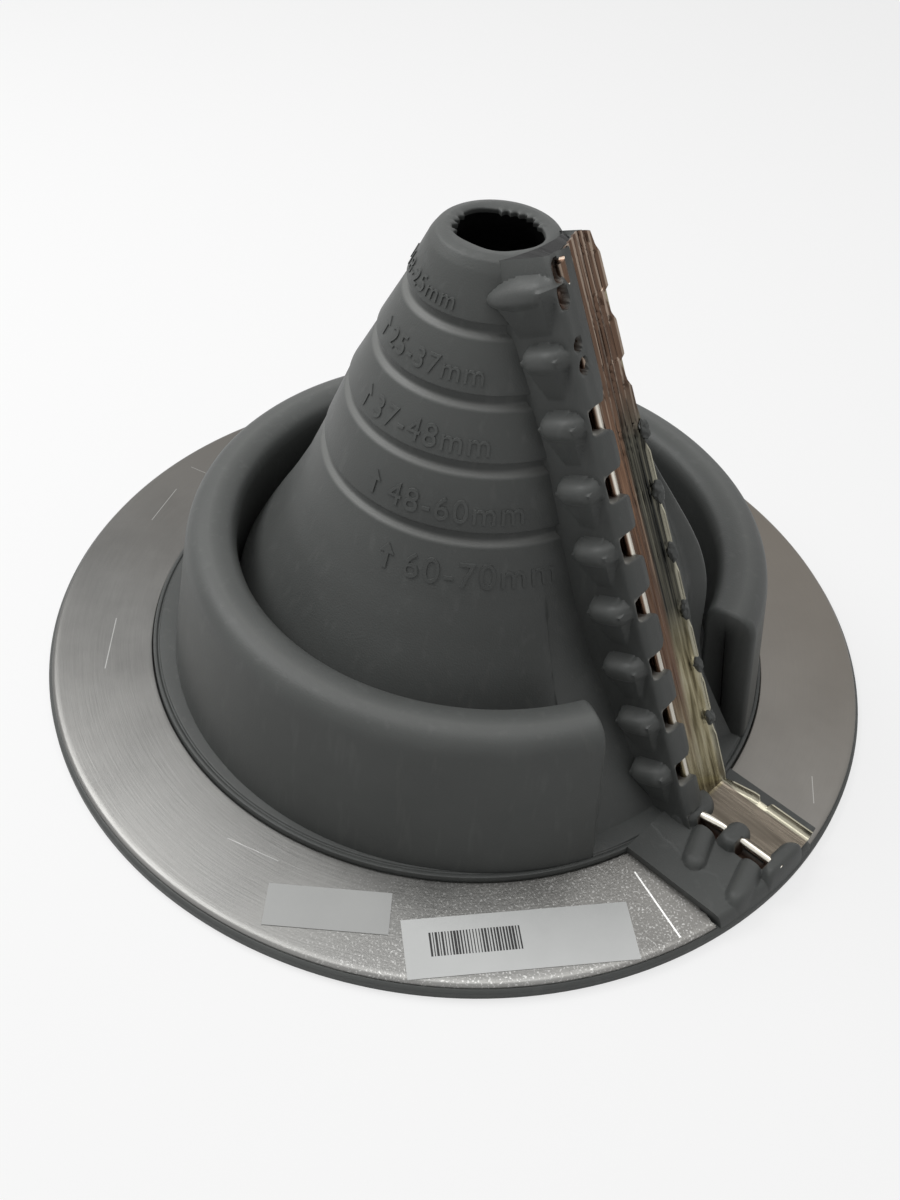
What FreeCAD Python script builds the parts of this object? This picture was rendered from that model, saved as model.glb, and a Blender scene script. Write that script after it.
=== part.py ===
"""Split pipe flashing boot: a stepped rubber cone on a round metal-faced flange.

Origin: centre of the underside of the flange. +Z: the axis of the pipe.
The split that lets the boot go round a fitted pipe lies in the XZ plane, on the +X side.
"""
import FreeCAD, Part
import math
import os
import re

import Sketcher
from FreeCAD import Matrix, Placement, Rotation, Vector

# ---------------------------------------------------------------- driving sizes (mm, degrees)
SIZES = [
    ("base_radius", 101.5, "outer radius of the flange"),
    ("pad_thickness", 3.0, "rubber under the metal ring"),
    ("skin", 3.2, "rubber wall of the cone and of the fold"),
    ("ring_thickness", 1.2, "sheet of the metal ring"),
    ("ring_inset", 0.8, "rubber showing outside the ring"),
    ("ring_clearance", 0.15, "between the ring and the rubber band"),
    ("ring_width", 23.95, "metal ring, inner to outer edge"),
    ("band_rise", 1.2, "band above the metal ring"),
    ("hole_radius", 8.3, "opening in the cap"),
    ("cap_radius", 13.6, "outside of the cap"),
    ("cap_height", 112.2, "edge of the cap"),
    ("cap_crown", 2.4, "cap edge to the rim of its hole"),
    ("cap_thickness", 2.5, "rubber round the hole"),
    ("tier_one_radius", 18.5, "first step ridge"),
    ("tier_one_height", 100.5, "first step ridge"),
    ("tier_two_radius", 24.2, "second step ridge"),
    ("tier_two_height", 88.1, "second step ridge"),
    ("tier_three_radius", 29.8, "third step ridge"),
    ("tier_three_height", 75.9, "third step ridge"),
    ("tier_four_radius", 34.9, "fourth step ridge"),
    ("tier_four_height", 62.0, "fourth step ridge"),
    ("step_depth", 1.5, "how far a ridge stands out"),
    ("step_band", 2.8, "height of the recess above a ridge"),
    ("step_lip", 0.7, "overhang of the tier above a recess"),
    ("ridge_slope", 0.8, "height of the slope on top of a ridge"),
    ("flare_top_share", 0.208, "fourth ridge to the cone's foot, as a share"),
    ("flare_top_height", 50.8, "flare below the tiers"),
    ("flare_mid_share", 0.442, "fourth ridge to the cone's foot, as a share"),
    ("flare_mid_height", 40.6, "flare below the tiers"),
    ("flare_low_share", 0.686, "fourth ridge to the cone's foot, as a share"),
    ("flare_low_height", 31.5, "flare below the tiers"),
    ("shoulder_share", 0.88, "fourth ridge to the cone's foot, as a share"),
    ("shoulder_height", 23.3, "round shoulder over the ditch"),
    ("ditch_width", 3.6, "between the cone and the fold at the flange"),
    ("ramp_setback", 1.7, "fold's foot to the foot of the ramp"),
    ("ramp_tuck", 2.4, "top of the ramp below the middle of the flare"),
    ("fold_setback", 3.5, "raised band's edge to the foot of the fold"),
    ("fold_lean", 5.6, "how far the outside of the fold leans in"),
    ("fold_foot_width", 12.0, "width of the fold at the flange"),
    ("fold_rim_width", 11.8, "width of the fold at its rim"),
    ("fold_height", 41.6, "rim of the fold above the underside"),
    ("fold_round", 5.4, "rounding of the rim"),
    ("fold_shift", 3.0, "centre of the fold towards the split"),
    ("fold_gap_lug_side", 25.0, "split to the end of the fold, lug side"),
    ("fold_gap_far_side", 16.5, "split to the end of the fold, far side"),
    ("fold_end_angle", 2.8, "thickness of the fold's closed ends"),
    ("mouth_inset", 0.4, "how much the pad narrows the hollows above it"),
    ("slit_width", 0.6, "the split through the rubber"),
    ("strip_setout", 0.2, "raised band's edge to the bend of the seam strip"),
    ("strip_foot_height", 6.2, "seam strip at its bend"),
    ("strip_top_radius", 17.9, "seam strip at its upper end"),
    ("strip_top_height", 120.3, "seam strip at its upper end"),
    ("strip_width", 9.4, "flat of the seam strip"),
    ("strip_sheet", 0.6, "sheet of the seam strip"),
    ("strip_bead", 1.3, "radius of the rolled bead"),
    ("strip_hem", 1.6, "height of the turned-up hem"),
    ("strip_inset", 1.6, "flange edge to the end of the strip"),
    ("insert_width", 5.0, "flat of the hidden strip"),
    ("insert_sheet", 0.5, "sheet of the hidden strip"),
    ("rib_top_half", 6.2, "half width of the rib under the strip"),
    ("rib_depth", 22.0, "depth of the rib below the strip"),
    ("rib_lug_spread", 15.2, "extra width at the root, lug side"),
    ("rib_far_spread", 8.0, "extra width at the root, far side"),
    ("rib_top_inset", 4.0, "strip end to the end of the rib"),
    ("lug_count", 9, "lugs along the split"),
    ("lug_first", 12.1, "bend to the lowest lug"),
    ("lug_last", 7.1, "highest lug to the end of the strip"),
    ("lug_length", 11.0, "length of a lug across the split"),
    ("lug_height", 5.6, "height of a lug along the split"),
    ("lug_reach", 4.6, "how far a lug stands off the rib"),
    ("lug_tail", 7.6, "wedge below a lug"),
    ("lug_offset", 11.2, "split to the middle of a lug"),
    ("lug_sink", 5.2, "strip face to the root of a lug"),
    ("tab_length", 7.2, "length of a tab along the bead"),
    ("tab_cover", 1.2, "rubber over the bead"),
    ("notch_radius", 2.4, "notches in the hem"),
    ("gap_lug_side", 22.0, "split to the end of the ring, lug side"),
    ("gap_far_side", 11.5, "split to the end of the ring, far side"),
    ("lip_lug_side", 16.0, "split to the edge of the flange lip, lug side"),
    ("lip_far_side", 6.6, "split to the edge of the flange lip, far side"),
    ("lip_inset", 0.6, "flange edge to the end of the flange lip"),
    ("label_thickness", 0.15, "paper label"),
    ("label_long", 48.0, "length of the large label"),
    ("label_long_width", 13.4, "width of the large label"),
    ("label_long_shift", 2.1, "large label out from the middle of the ring"),
    ("label_long_angle", -39.0, "place of the large label round the ring"),
    ("label_short", 26.0, "length of the small label"),
    ("label_short_width", 9.8, "width of the small label"),
    ("label_short_shift", 0.1, "small label out from the middle of the ring"),
    ("label_short_angle", -64.8, "place of the small label round the ring"),
    ("label_short_skew", 15.0, "small label off square"),
]
TIERS = ("one", "two", "three", "four")

doc = FreeCAD.newDocument("pipe_flashing_boot")
sheet = doc.addObject("Spreadsheet::Sheet", "Sizes")
for row, (alias, value, note) in enumerate(SIZES, start=1):
    sheet.set("A%d" % row, alias)
    sheet.set("B%d" % row, str(value))
    sheet.set("C%d" % row, note)
    sheet.setAlias("B%d" % row, alias)
doc.recompute()
ALIASES = {alias for alias, value, note in SIZES}

# Expressions that several pieces share, written with the bare names of the cells.
RING_TOP = "pad_thickness + ring_thickness"
SUNK = "pad_thickness / 3"
BELOW = "-pad_thickness / 3"
BAND = "(base_radius - ring_inset - ring_width - ring_clearance)"
RING_MIDDLE = "(base_radius - ring_inset - ring_width / 2)"
FOLD_FOOT = f"({BAND} - fold_setback)"
FOLD_RIM = f"({FOLD_FOOT} - fold_lean)"
CONE_FOOT = f"({FOLD_FOOT} - fold_foot_width - ditch_width)"
RAMP_FOOT = f"({FOLD_FOOT} - ramp_setback)"
RAMP_TOP = "(flare_mid_height - ramp_tuck)"


def flare(name):
    """Radius of one circle of the flare between the fourth ridge and the cone's foot."""
    return f"(tier_four_radius + ({CONE_FOOT} - tier_four_radius) * {name}_share)"


STRIP_FOOT = f"({BAND} + strip_setout)"
STRIP_RUN = f"({STRIP_FOOT} - strip_top_radius)"
STRIP_RISE = "(strip_top_height - strip_foot_height)"
STRIP_LENGTH = f"sqrt({STRIP_RUN} ^ 2 + {STRIP_RISE} ^ 2)"
STRIP_LEAN = f"atan({STRIP_RUN} / {STRIP_RISE})"
STRIP_TAIL = f"(base_radius - strip_inset - {STRIP_FOOT})"
LUG_PITCH = f"(({STRIP_LENGTH} - lug_first - lug_last) / (lug_count - 1))"
GAP_SUM = "(fold_gap_lug_side + fold_gap_far_side)"
GAP_MIDDLE = "(fold_gap_far_side - fold_gap_lug_side) / 2"


def size(alias):
    """The value of one cell, for what can't be bound."""
    return float(sheet.get(alias))


def bound(text):
    """The same expression with the sheet's name before each of its cells."""
    return re.sub("[a-z_]+", lambda m: "Sizes." + m[0] if m[0] in ALIASES else m[0], text)


def bind(item, **texts):
    """Bind properties to expressions; two underscores stand for a dot."""
    for path, text in texts.items():
        item.setExpression(path.replace("__", "."), bound(text))


def origin_part(body, role):
    """One of a body's own origin planes or axes."""
    return next(f for f in body.Origin.OriginFeatures if f.Role == role)


def outline(body, corners, role="XZ_Plane", closed=True):
    """A sketch whose corners are pairs of expressions, measured from the body's origin."""
    sketch = body.newObject("Sketcher::SketchObject", body.Name + "_outline")
    sketch.AttachmentSupport = (origin_part(body, role), "")
    sketch.MapMode = "FlatFace"
    turn = 2 * math.pi / len(corners)
    wide = size("base_radius") / 2
    start = [Vector(wide * (1.5 + math.cos(k * turn)), wide * (1.5 + math.sin(k * turn)), 0)
             for k in range(len(corners))]
    runs = len(corners) if closed else len(corners) - 1
    for k in range(runs):
        sketch.addGeometry(Part.LineSegment(start[k], start[(k + 1) % len(start)]), False)
    for k in range(runs - (0 if closed else 1)):
        sketch.addConstraint(Sketcher.Constraint("Coincident", k, 2, (k + 1) % runs, 1))
    for k, (across, up) in enumerate(corners):
        edge, end = (k, 1) if k < runs else (k - 1, 2)
        for kind, axis, text in (("DistanceX", -2, across), ("DistanceY", -1, up)):
            if text == "0":
                sketch.addConstraint(Sketcher.Constraint("PointOnObject", edge, end, axis))
            else:
                rule = Sketcher.Constraint(kind, -1, 1, edge, end, wide)
                at = sketch.addConstraint(rule)
                sketch.setExpression("Constraints[%d]" % at, bound(text))
    return sketch


def revolved(name, corners, angle="360", turn=None, shift=None):
    """A body turned about the pipe's axis from a section; its middle faces the split."""
    body = doc.addObject("PartDesign::Body", name)
    sketch = outline(body, corners)
    feature = body.newObject("PartDesign::Revolution", name + "_turned")
    feature.Profile = sketch
    feature.ReferenceAxis = (sketch, ["V_Axis"])
    feature.Midplane = True
    bind(feature, Angle=angle)
    if turn:
        body.Placement = Placement(Vector(), Rotation(Vector(0, 0, 1), 1))
        bind(body, Placement__Rotation__Angle=turn)
    if shift:
        bind(body, Placement__Base__x=shift)
    doc.recompute()
    return body


def circle_edges(shape, matches):
    """Names of the round edges for which matches(radius, height) is true."""
    found = []
    for number, edge in enumerate(shape.Edges, start=1):
        if edge.Curve.TypeId == "Part::GeomCircle":
            if matches(edge.Curve.Radius, edge.Curve.Center.z):
                found.append("Edge%d" % number)
    return found


def rounded(body, name, edges, radius):
    """Fillet named edges of a body's last feature."""
    feature = body.newObject("PartDesign::Fillet", name)
    feature.Base = (feature.BaseFeature, edges)
    bind(feature, Radius=radius)
    doc.recompute()
    return feature


def on_split(name):
    """A body in the strip's frame: z up the strip, x away from the cone, y across the split."""
    body = doc.addObject("PartDesign::Body", name)
    body.Placement = Placement(Vector(1, 0, 1), Rotation(Vector(0, 1, 0), -1))
    bind(body,
         Placement__Base__x=STRIP_FOOT,
         Placement__Base__z="strip_foot_height",
         Placement__Rotation__Angle="-" + STRIP_LEAN)
    return body


def along_split(body, original):
    """Repeat a feature up the split, once at each lug."""
    feature = body.newObject("PartDesign::LinearPattern", original.Name + "_pattern")
    feature.Originals = [original]
    feature.Direction = (origin_part(body, "Z_Axis"), [""])
    bind(feature, Occurrences="lug_count", Length=f"{LUG_PITCH} * (lug_count - 1)")
    body.Tip = feature
    doc.recompute()
    return feature


def joined(kind, name, members):
    """A union or a common of several objects."""
    item = doc.addObject(kind, name)
    item.Shapes = members
    doc.recompute()
    return item


def cut(name, base, tool):
    item = doc.addObject("Part::Cut", name)
    item.Base = base
    item.Tool = tool
    doc.recompute()
    return item


def block(name, **texts):
    """A box bound to the sheet; x, y and z place its lowest corner."""
    item = doc.addObject("Part::Box", name)
    for path in ("x", "y", "z"):
        if path in texts:
            bind(item, **{"Placement__Base__" + path: texts.pop(path)})
    bind(item, **texts)
    doc.recompute()
    return item


# ---------------------------------------------------------------- cone and flange, outside
def tier_corners():
    """Upward along the steps: ridge, slope, recess and the lip of the tier above."""
    corners = []
    for tier in reversed(TIERS):
        radius, height = f"tier_{tier}_radius", f"tier_{tier}_height"
        corners += [
            (radius, height),
            (f"{radius} - step_depth", f"{height} + ridge_slope"),
            (f"{radius} - step_depth - step_lip / 2", f"{height} + step_band"),
            (f"{radius} - step_depth + step_lip", f"{height} + step_band + step_lip / 4"),
        ]
    return corners


cone_form = revolved("cone_form", [
    ("hole_radius", "0"),
    ("base_radius", "0"),
    ("base_radius", "pad_thickness"),
    (BAND, "pad_thickness"),
    (BAND, RING_TOP + " + band_rise"),
    (CONE_FOOT, RING_TOP + " + band_rise"),
    (flare("shoulder"), "shoulder_height"),
    (flare("flare_low"), "flare_low_height"),
    (flare("flare_mid"), "flare_mid_height"),
    (flare("flare_top"), "flare_top_height"),
    *tier_corners(),
    ("cap_radius", "cap_height"),
    ("cap_radius - cap_crown * 0.75", "cap_height + cap_crown * 0.8"),
    ("hole_radius", "cap_height + cap_crown"),
])

# Beside the split there is no ditch: the cone runs on down to the flange as a ramp.
ramp = revolved("ramp", [
    (CONE_FOOT + " - skin / 2", SUNK),
    (RAMP_FOOT, SUNK),
    (RAMP_FOOT, RING_TOP),
    (flare("flare_mid") + " + skin / 6", RAMP_TOP),
    (flare("flare_low") + " - skin / 2", "flare_low_height"),
    (flare("shoulder") + " - skin / 2", "shoulder_height"),
], angle=GAP_SUM, turn=GAP_MIDDLE)

# ---------------------------------------------------------------- the fold round the cone
fold = revolved("fold", [
    (FOLD_FOOT, SUNK),
    (FOLD_RIM, "fold_height"),
    (FOLD_RIM + " - fold_rim_width", "fold_height"),
    (FOLD_FOOT + " - fold_foot_width", SUNK),
], angle="360 - " + GAP_SUM, turn="180 + " + GAP_MIDDLE, shift="fold_shift")
rim = circle_edges(fold.Shape, lambda r, z: abs(z - size("fold_height")) < 0.01)
rounded(fold, "fold_rim_rounding", rim, "fold_round")


def under_fold(name, inset):
    """The hollow under the fold, narrowed by an inset on both sides."""
    return revolved(name, [
        (f"{FOLD_FOOT} - skin - {inset}", BELOW),
        (f"{FOLD_RIM} - skin - {inset}", "fold_height - skin * 1.2"),
        (f"{FOLD_RIM} - fold_rim_width + skin + {inset}", "fold_height - skin * 1.2"),
        (f"{FOLD_FOOT} - fold_foot_width + skin + {inset}", BELOW),
    ], angle=f"360 - {GAP_SUM} - 2 * fold_end_angle - {inset}",
        turn="180 + " + GAP_MIDDLE, shift="fold_shift")


fold_hollow = under_fold("fold_hollow", "0")
fold_mouth = under_fold("fold_mouth", "mouth_inset")

# ---------------------------------------------------------------- hollow of the cone
INNER_OFFSET = "step_depth - skin"
inner_core = revolved("inner_core", [
    ("0", BELOW),
    (CONE_FOOT + " - skin", BELOW),
    (flare("shoulder") + " - skin", "shoulder_height"),
    (flare("flare_low") + " - skin", "flare_low_height"),
    (flare("flare_mid") + " - skin", "flare_mid_height"),
    (flare("flare_top") + " - skin", "flare_top_height"),
    *[(f"tier_{t}_radius - {INNER_OFFSET}", f"tier_{t}_height") for t in reversed(TIERS)],
    ("cap_radius - skin", "cap_height - skin"),
    ("cap_radius - skin", "cap_height + cap_crown - cap_thickness"),
    ("0", "cap_height + cap_crown - cap_thickness"),
])


def under_ramp(name, inset):
    """The hollow under the ramp, narrowed by an inset."""
    return revolved(name, [
        (CONE_FOOT + " - 2 * skin", BELOW),
        (f"{RAMP_FOOT} - skin - {inset}", BELOW),
        (f"{RAMP_FOOT} - skin - {inset}", f"pad_thickness - {inset}"),
        (flare("shoulder") + f" - 2 * skin - {inset}", f"shoulder_height - {inset}"),
    ], angle=f"{GAP_SUM} - 2 * fold_end_angle - {inset}", turn=GAP_MIDDLE)


ramp_core = under_ramp("ramp_core", "0")
ramp_mouth = under_ramp("ramp_mouth", "mouth_inset")

# What is cut from the lips ends half way through the walls that they stand on.
lip_core = revolved("lip_core", [
    ("0", BELOW),
    (RAMP_FOOT + " - skin * 0.8", BELOW),
    (RAMP_FOOT + " - skin * 0.8", RING_TOP + " - skin / 4"),
    (flare("flare_low") + " - skin * 0.4", "flare_low_height"),
    (flare("flare_mid") + " - skin / 2", "flare_mid_height"),
    (flare("flare_top") + " - skin / 2", "flare_top_height"),
    *[(f"tier_{t}_radius - step_depth - skin / 2", f"tier_{t}_height") for t in reversed(TIERS)],
    ("cap_radius - skin / 2", "cap_height - skin"),
    ("cap_radius - skin / 2", "cap_height"),
    ("0", "cap_height"),
])

# ---------------------------------------------------------------- lips along the split
lips = on_split("split_lips")
lip_sketch = outline(lips, [
    ("0", "-rib_top_half"),
    ("0", "rib_top_half"),
    ("-rib_depth", "rib_top_half + rib_far_spread"),
    ("-rib_depth", "-rib_top_half - rib_lug_spread"),
], role="XY_Plane")
lip_pad = lips.newObject("PartDesign::Pad", "lip_pad")
lip_pad.Profile = lip_sketch
bind(lip_pad, Length=STRIP_LENGTH + " - rib_top_inset")
doc.recompute()

lug_pitch = ((lip_pad.Length.Value + size("rib_top_inset") - size("lug_first") - size("lug_last"))
             / (size("lug_count") - 1))

# One lug: a rounded pillow with a wedge under it, square to the sloping flank of the lip.
flank = Vector(-size("rib_depth"), -size("rib_lug_spread"), 0).normalize()
outward = Vector(-flank.y, flank.x, 0)
lug_middle = Vector(
    flank.x / flank.y * (size("rib_top_half") - size("lug_offset")),
    -size("lug_offset"),
    size("lug_first"),
)
lug_frame = Matrix(
    flank.x, 0, outward.x, 0,
    flank.y, 0, outward.y, 0,
    0, -1, 0, 0,
)
lug_turn = Rotation(lug_frame)
pillow = lips.newObject("PartDesign::AdditiveEllipsoid", "lug_pillow")
bind(pillow, Radius1="lug_height / 2", Radius2="lug_length / 2", Radius3="lug_reach * 0.75")
pillow_turn = Matrix(
    flank.x, outward.x, 0, 0,
    flank.y, outward.y, 0, 0,
    0, 0, 1, 0,
)
pillow.Placement = Placement(lug_middle + outward * size("lug_reach") * 0.25, Rotation(pillow_turn))
doc.recompute()
along_split(lips, pillow)

tail = lips.newObject("PartDesign::AdditiveWedge", "lug_tail")
bind(tail,
     Xmin="-lug_length * 0.44", Xmax="lug_length * 0.44",
     Ymin="0", Ymax="lug_tail",
     Zmin="-skin", Zmax="lug_reach * 0.75",
     X2min="-lug_length * 0.16", X2max="lug_length * 0.24",
     Z2min="-skin", Z2max="0.1")
tail.Placement = Placement(lug_middle, lug_turn)
doc.recompute()
along_split(lips, tail)

tab = lips.newObject("PartDesign::AdditiveCylinder", "tab")
bind(tab, Radius="tab_length / 2", Height="skin + 2 * strip_bead + tab_cover")
tab.Placement = Placement(
    Vector(-size("skin"), -size("strip_width") / 2 - size("strip_bead"),
           size("lug_first") - lug_pitch * 0.45),
    Rotation(Vector(0, 1, 0), 90))
doc.recompute()
along_split(lips, tab)

# ---------------------------------------------------------------- flange beside the split
flange_disc = doc.addObject("Part::Cylinder", "flange_disc")
bind(flange_disc, Radius="base_radius - lip_inset", Height="fold_height")
flange_fill = block("flange_fill",
                    Length="base_radius - " + RAMP_FOOT,
                    Width="gap_lug_side + gap_far_side - 2 * ring_clearance",
                    Height=f"{RING_TOP} - {SUNK}",
                    x=RAMP_FOOT,
                    y="ring_clearance - gap_lug_side",
                    z=SUNK)
flange_lip = block("flange_lip",
                   Length="base_radius - " + RAMP_FOOT,
                   Width="lip_lug_side + lip_far_side",
                   Height="strip_foot_height - " + SUNK,
                   x=RAMP_FOOT,
                   y="-lip_lug_side",
                   z=SUNK)
flange_lugs = []
for number in (1, 2):
    lug = doc.addObject("Part::Ellipsoid", "flange_lug_%d" % number)
    bind(lug,
         Radius1="lug_reach * 0.6",
         Radius2="lug_height * 0.55",
         Radius3="lug_length * 0.55",
         Placement__Base__x=f"{STRIP_FOOT} + {LUG_PITCH} * ({number} - 0.5)",
         Placement__Base__y="-lip_lug_side + lug_length * 0.4",
         Placement__Base__z="strip_foot_height")
    flange_lugs.append(lug)
flange_parts = joined("Part::MultiFuse", "flange_parts", [flange_fill, flange_lip] + flange_lugs)
flange_trim = joined("Part::MultiCommon", "flange_trim", [flange_parts, flange_disc])

# ---------------------------------------------------------------- seam strips
seam_channel = on_split("seam_channel_body")
TAIL_ACROSS = f"{STRIP_TAIL} * cos({STRIP_LEAN})"
TAIL_DOWN = f"-{STRIP_TAIL} * sin({STRIP_LEAN})"
path = outline(seam_channel,
               [("0", STRIP_LENGTH), ("0", "0"), (TAIL_ACROSS, TAIL_DOWN)],
               closed=False)
HALF = "strip_width / 2"
bead_side = [
    (f"strip_bead + strip_bead * {math.sin(math.radians(a)):.4f}",
     f"-{HALF} - strip_bead * {math.cos(math.radians(a)):.4f}")
    for a in (-67.5, -22.5, 22.5, 67.5, 112.5, 157.5)
]
section = outline(seam_channel, [
    ("0", HALF),
    ("strip_hem", HALF),
    ("strip_hem", HALF + " - strip_sheet"),
    ("strip_sheet", HALF + " - strip_sheet"),
    ("strip_sheet", "-" + HALF + " + strip_bead * 0.7"),
] + bead_side[::-1] + [
    ("0", "-" + HALF + " - strip_bead * 0.4142"),
], role="XY_Plane")
bind(section, AttachmentOffset__Base__z=STRIP_LENGTH)
doc.recompute()
swept = seam_channel.newObject("PartDesign::AdditivePipe", "channel_pipe")
swept.Profile = section
swept.Spine = (path, ["Edge1", "Edge2"])
swept.Transition = "Right corner"
doc.recompute()
notch = seam_channel.newObject("PartDesign::SubtractiveCylinder", "hem_notch")
bind(notch, Radius="notch_radius", Height="strip_hem * 2 + strip_sheet")
notch.Placement = Placement(
    Vector(-size("strip_hem") / 2, size("strip_width") / 2 + size("strip_sheet"),
           size("lug_first") + lug_pitch * 0.35),
    Rotation(Vector(0, 1, 0), 90))
doc.recompute()
along_split(seam_channel, notch)

insert = on_split("seam_insert_body")
insert_sketch = outline(insert, [
    ("-2 * insert_sheet", "slit_width"),
    ("-2 * insert_sheet", "slit_width + insert_width"),
    ("-insert_sheet", "slit_width + insert_width"),
    ("-insert_sheet", "slit_width"),
], role="XY_Plane")
insert_pad = insert.newObject("PartDesign::Pad", "insert_pad")
insert_pad.Profile = insert_sketch
bind(insert_pad, Length=STRIP_LENGTH + " - rib_top_inset")
doc.recompute()

# ---------------------------------------------------------------- the boot
slit = block("slit", Length="base_radius * 1.1", Width="slit_width", Height="strip_top_height * 1.1",
             y="-slit_width / 2", z=BELOW)
underside = block("underside", Length="base_radius * 2.2", Width="base_radius * 2.2", Height="skin * 4",
                  x="-base_radius * 1.1", y="-base_radius * 1.1", z="-skin * 4")


def opened(item, tools):
    """The object with each of the tools cut from it in turn."""
    for tool in tools:
        item = cut(item.Name + "_less_" + tool.Name, item, tool)
    return item


rubber = joined("Part::MultiFuse", "rubber", [
    opened(cone_form, [inner_core, fold_mouth, ramp_mouth]),
    opened(ramp, [ramp_core, seam_channel, insert]),
    opened(fold, [fold_hollow]),
    opened(lips, [lip_core, seam_channel, insert]),
    opened(flange_trim, [seam_channel, insert]),
])
rubber_boot = opened(rubber, [slit, underside])

# ---------------------------------------------------------------- the ring
ring_blank = revolved("ring_blank", [
    (BAND + " + ring_clearance", "pad_thickness"),
    ("base_radius - ring_inset", "pad_thickness"),
    ("base_radius - ring_inset", "pad_thickness + ring_thickness / 2"),
    ("base_radius - 2 * ring_inset", RING_TOP),
    (BAND + " + ring_clearance", RING_TOP),
])
ring_gap = block("ring_gap", Length="base_radius * 1.1", Width="gap_lug_side + gap_far_side",
                 Height="ring_thickness * 3", y="-gap_lug_side", z="pad_thickness - ring_thickness")
base_ring = cut("base_ring", ring_blank, ring_gap)


# ---------------------------------------------------------------- labels on the ring
def label(name, key, turn):
    """A paper rectangle on the ring, its middle at a radius and an angle."""
    long, wide = f"label_{key}", f"label_{key}_width"
    radius, angle = f"({RING_MIDDLE} + label_{key}_shift)", f"label_{key}_angle"
    item = block(name, Length=long, Width=wide, Height="label_thickness", z=RING_TOP,
                 x=f"{radius} * cos({angle}) - {long} / 2 * cos({turn}) + {wide} / 2 * sin({turn})",
                 y=f"{radius} * sin({angle}) - {long} / 2 * sin({turn}) - {wide} / 2 * cos({turn})")
    bind(item, Placement__Rotation__Angle=turn)
    doc.recompute()
    return item


large_label = label("large_label", "long", "(label_long_angle + 90)")
small_label = label("small_label", "short", "(label_short_angle + 90 + label_short_skew)")

# ---------------------------------------------------------------- check and write
PIECES = {
    "rubber_boot": rubber_boot,
    "base_ring": base_ring,
    "seam_channel": seam_channel,
    "seam_insert": insert,
    "large_label": large_label,
    "small_label": small_label,
}
doc.recompute()
for item in doc.Objects:
    if "Invalid" in item.State or "Error" in item.State:
        raise RuntimeError("%s failed: %s" % (item.Name, item.State))
os.makedirs("parts", exist_ok=True)
for node, item in PIECES.items():
    item.Label = node
    shape = item.Shape
    if shape.isNull() or not shape.isValid() or not shape.Solids:
        raise RuntimeError("no valid solid for " + node)
    shape.exportStep("parts/%s.step" % node)
    box = shape.BoundBox
    print("%-14s %d solid(s) %9.0f mm3  x %.1f..%.1f  y %.1f..%.1f  z %.1f..%.1f" % (
        node, len(shape.Solids), shape.Volume,
        box.XMin, box.XMax, box.YMin, box.YMax, box.ZMin, box.ZMax))
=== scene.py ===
"""Pipe flashing boot: a split, stepped rubber cone on a round metal-faced flange."""
import math

import bmesh
import bpy
import numpy as np
from mathutils import Matrix, Vector


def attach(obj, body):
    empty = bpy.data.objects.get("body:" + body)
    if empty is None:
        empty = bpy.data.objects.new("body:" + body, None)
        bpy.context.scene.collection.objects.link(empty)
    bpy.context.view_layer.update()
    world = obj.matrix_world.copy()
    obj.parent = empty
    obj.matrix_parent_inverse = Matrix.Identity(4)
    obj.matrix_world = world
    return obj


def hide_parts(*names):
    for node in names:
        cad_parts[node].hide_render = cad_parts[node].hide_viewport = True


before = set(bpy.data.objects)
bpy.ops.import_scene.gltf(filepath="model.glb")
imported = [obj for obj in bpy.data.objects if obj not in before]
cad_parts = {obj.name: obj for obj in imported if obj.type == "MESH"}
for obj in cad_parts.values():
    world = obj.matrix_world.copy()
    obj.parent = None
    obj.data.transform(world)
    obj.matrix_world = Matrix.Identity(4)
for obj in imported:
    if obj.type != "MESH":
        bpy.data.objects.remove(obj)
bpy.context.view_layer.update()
MM = 0.001

# ---------------------------------------------------------------- the cone
# The hollow cone of the moulding: grey EPDM rubber, compression moulded in one shot with the
# rest. Steps mark where it is cut for each pipe; beside the split it runs down as a ramp.


def skin_mesh(name, outer, inner, closed=False, marks=None):
    """A closed skin between two grids of points in mm; closed joins the first and last rows."""
    rows, cols = outer.shape[:2]
    points = np.concatenate([outer.reshape(-1, 3), inner.reshape(-1, 3)]) * MM
    half = rows * cols
    faces = []
    for i in range(rows if closed else rows - 1):
        a, b = i * cols, (i + 1) % rows * cols
        for j in range(cols - 1):
            faces.append((a + j, b + j, b + j + 1, a + j + 1))
            faces.append((half + a + j + 1, half + b + j + 1, half + b + j, half + a + j))
        for j in (0, cols - 1):
            faces.append((a + j, b + j, half + b + j, half + a + j))
    if not closed:
        for i in (0, rows - 1):
            for j in range(cols - 1):
                a = i * cols + j
                faces.append((a, a + 1, half + a + 1, half + a))
    mesh = bpy.data.meshes.new(name)
    mesh.from_pydata(points.tolist(), [], faces)
    marks = {mark: np.concatenate([values.ravel()] * 2) for mark, values in (marks or {}).items()}
    marks["inside"] = np.concatenate([np.zeros(half), np.ones(half)])
    for mark, values in marks.items():
        mesh.attributes.new(mark, "FLOAT", "POINT").data.foreach_set("value", values.astype("f"))
    return finished(name, mesh)


def finished(name, mesh, sharp=38):
    """Put a mesh in the scene with outward normals and smooth faces."""
    form = bmesh.new()
    form.from_mesh(mesh)
    bmesh.ops.remove_doubles(form, verts=form.verts, dist=1e-6)
    bmesh.ops.recalc_face_normals(form, faces=form.faces)
    form.to_mesh(mesh)
    form.free()
    mesh.shade_smooth()
    mesh.set_sharp_from_angle(angle=math.radians(sharp))
    piece = bpy.data.objects.new(name, mesh)
    bpy.context.collection.objects.link(piece)
    return piece


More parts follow.
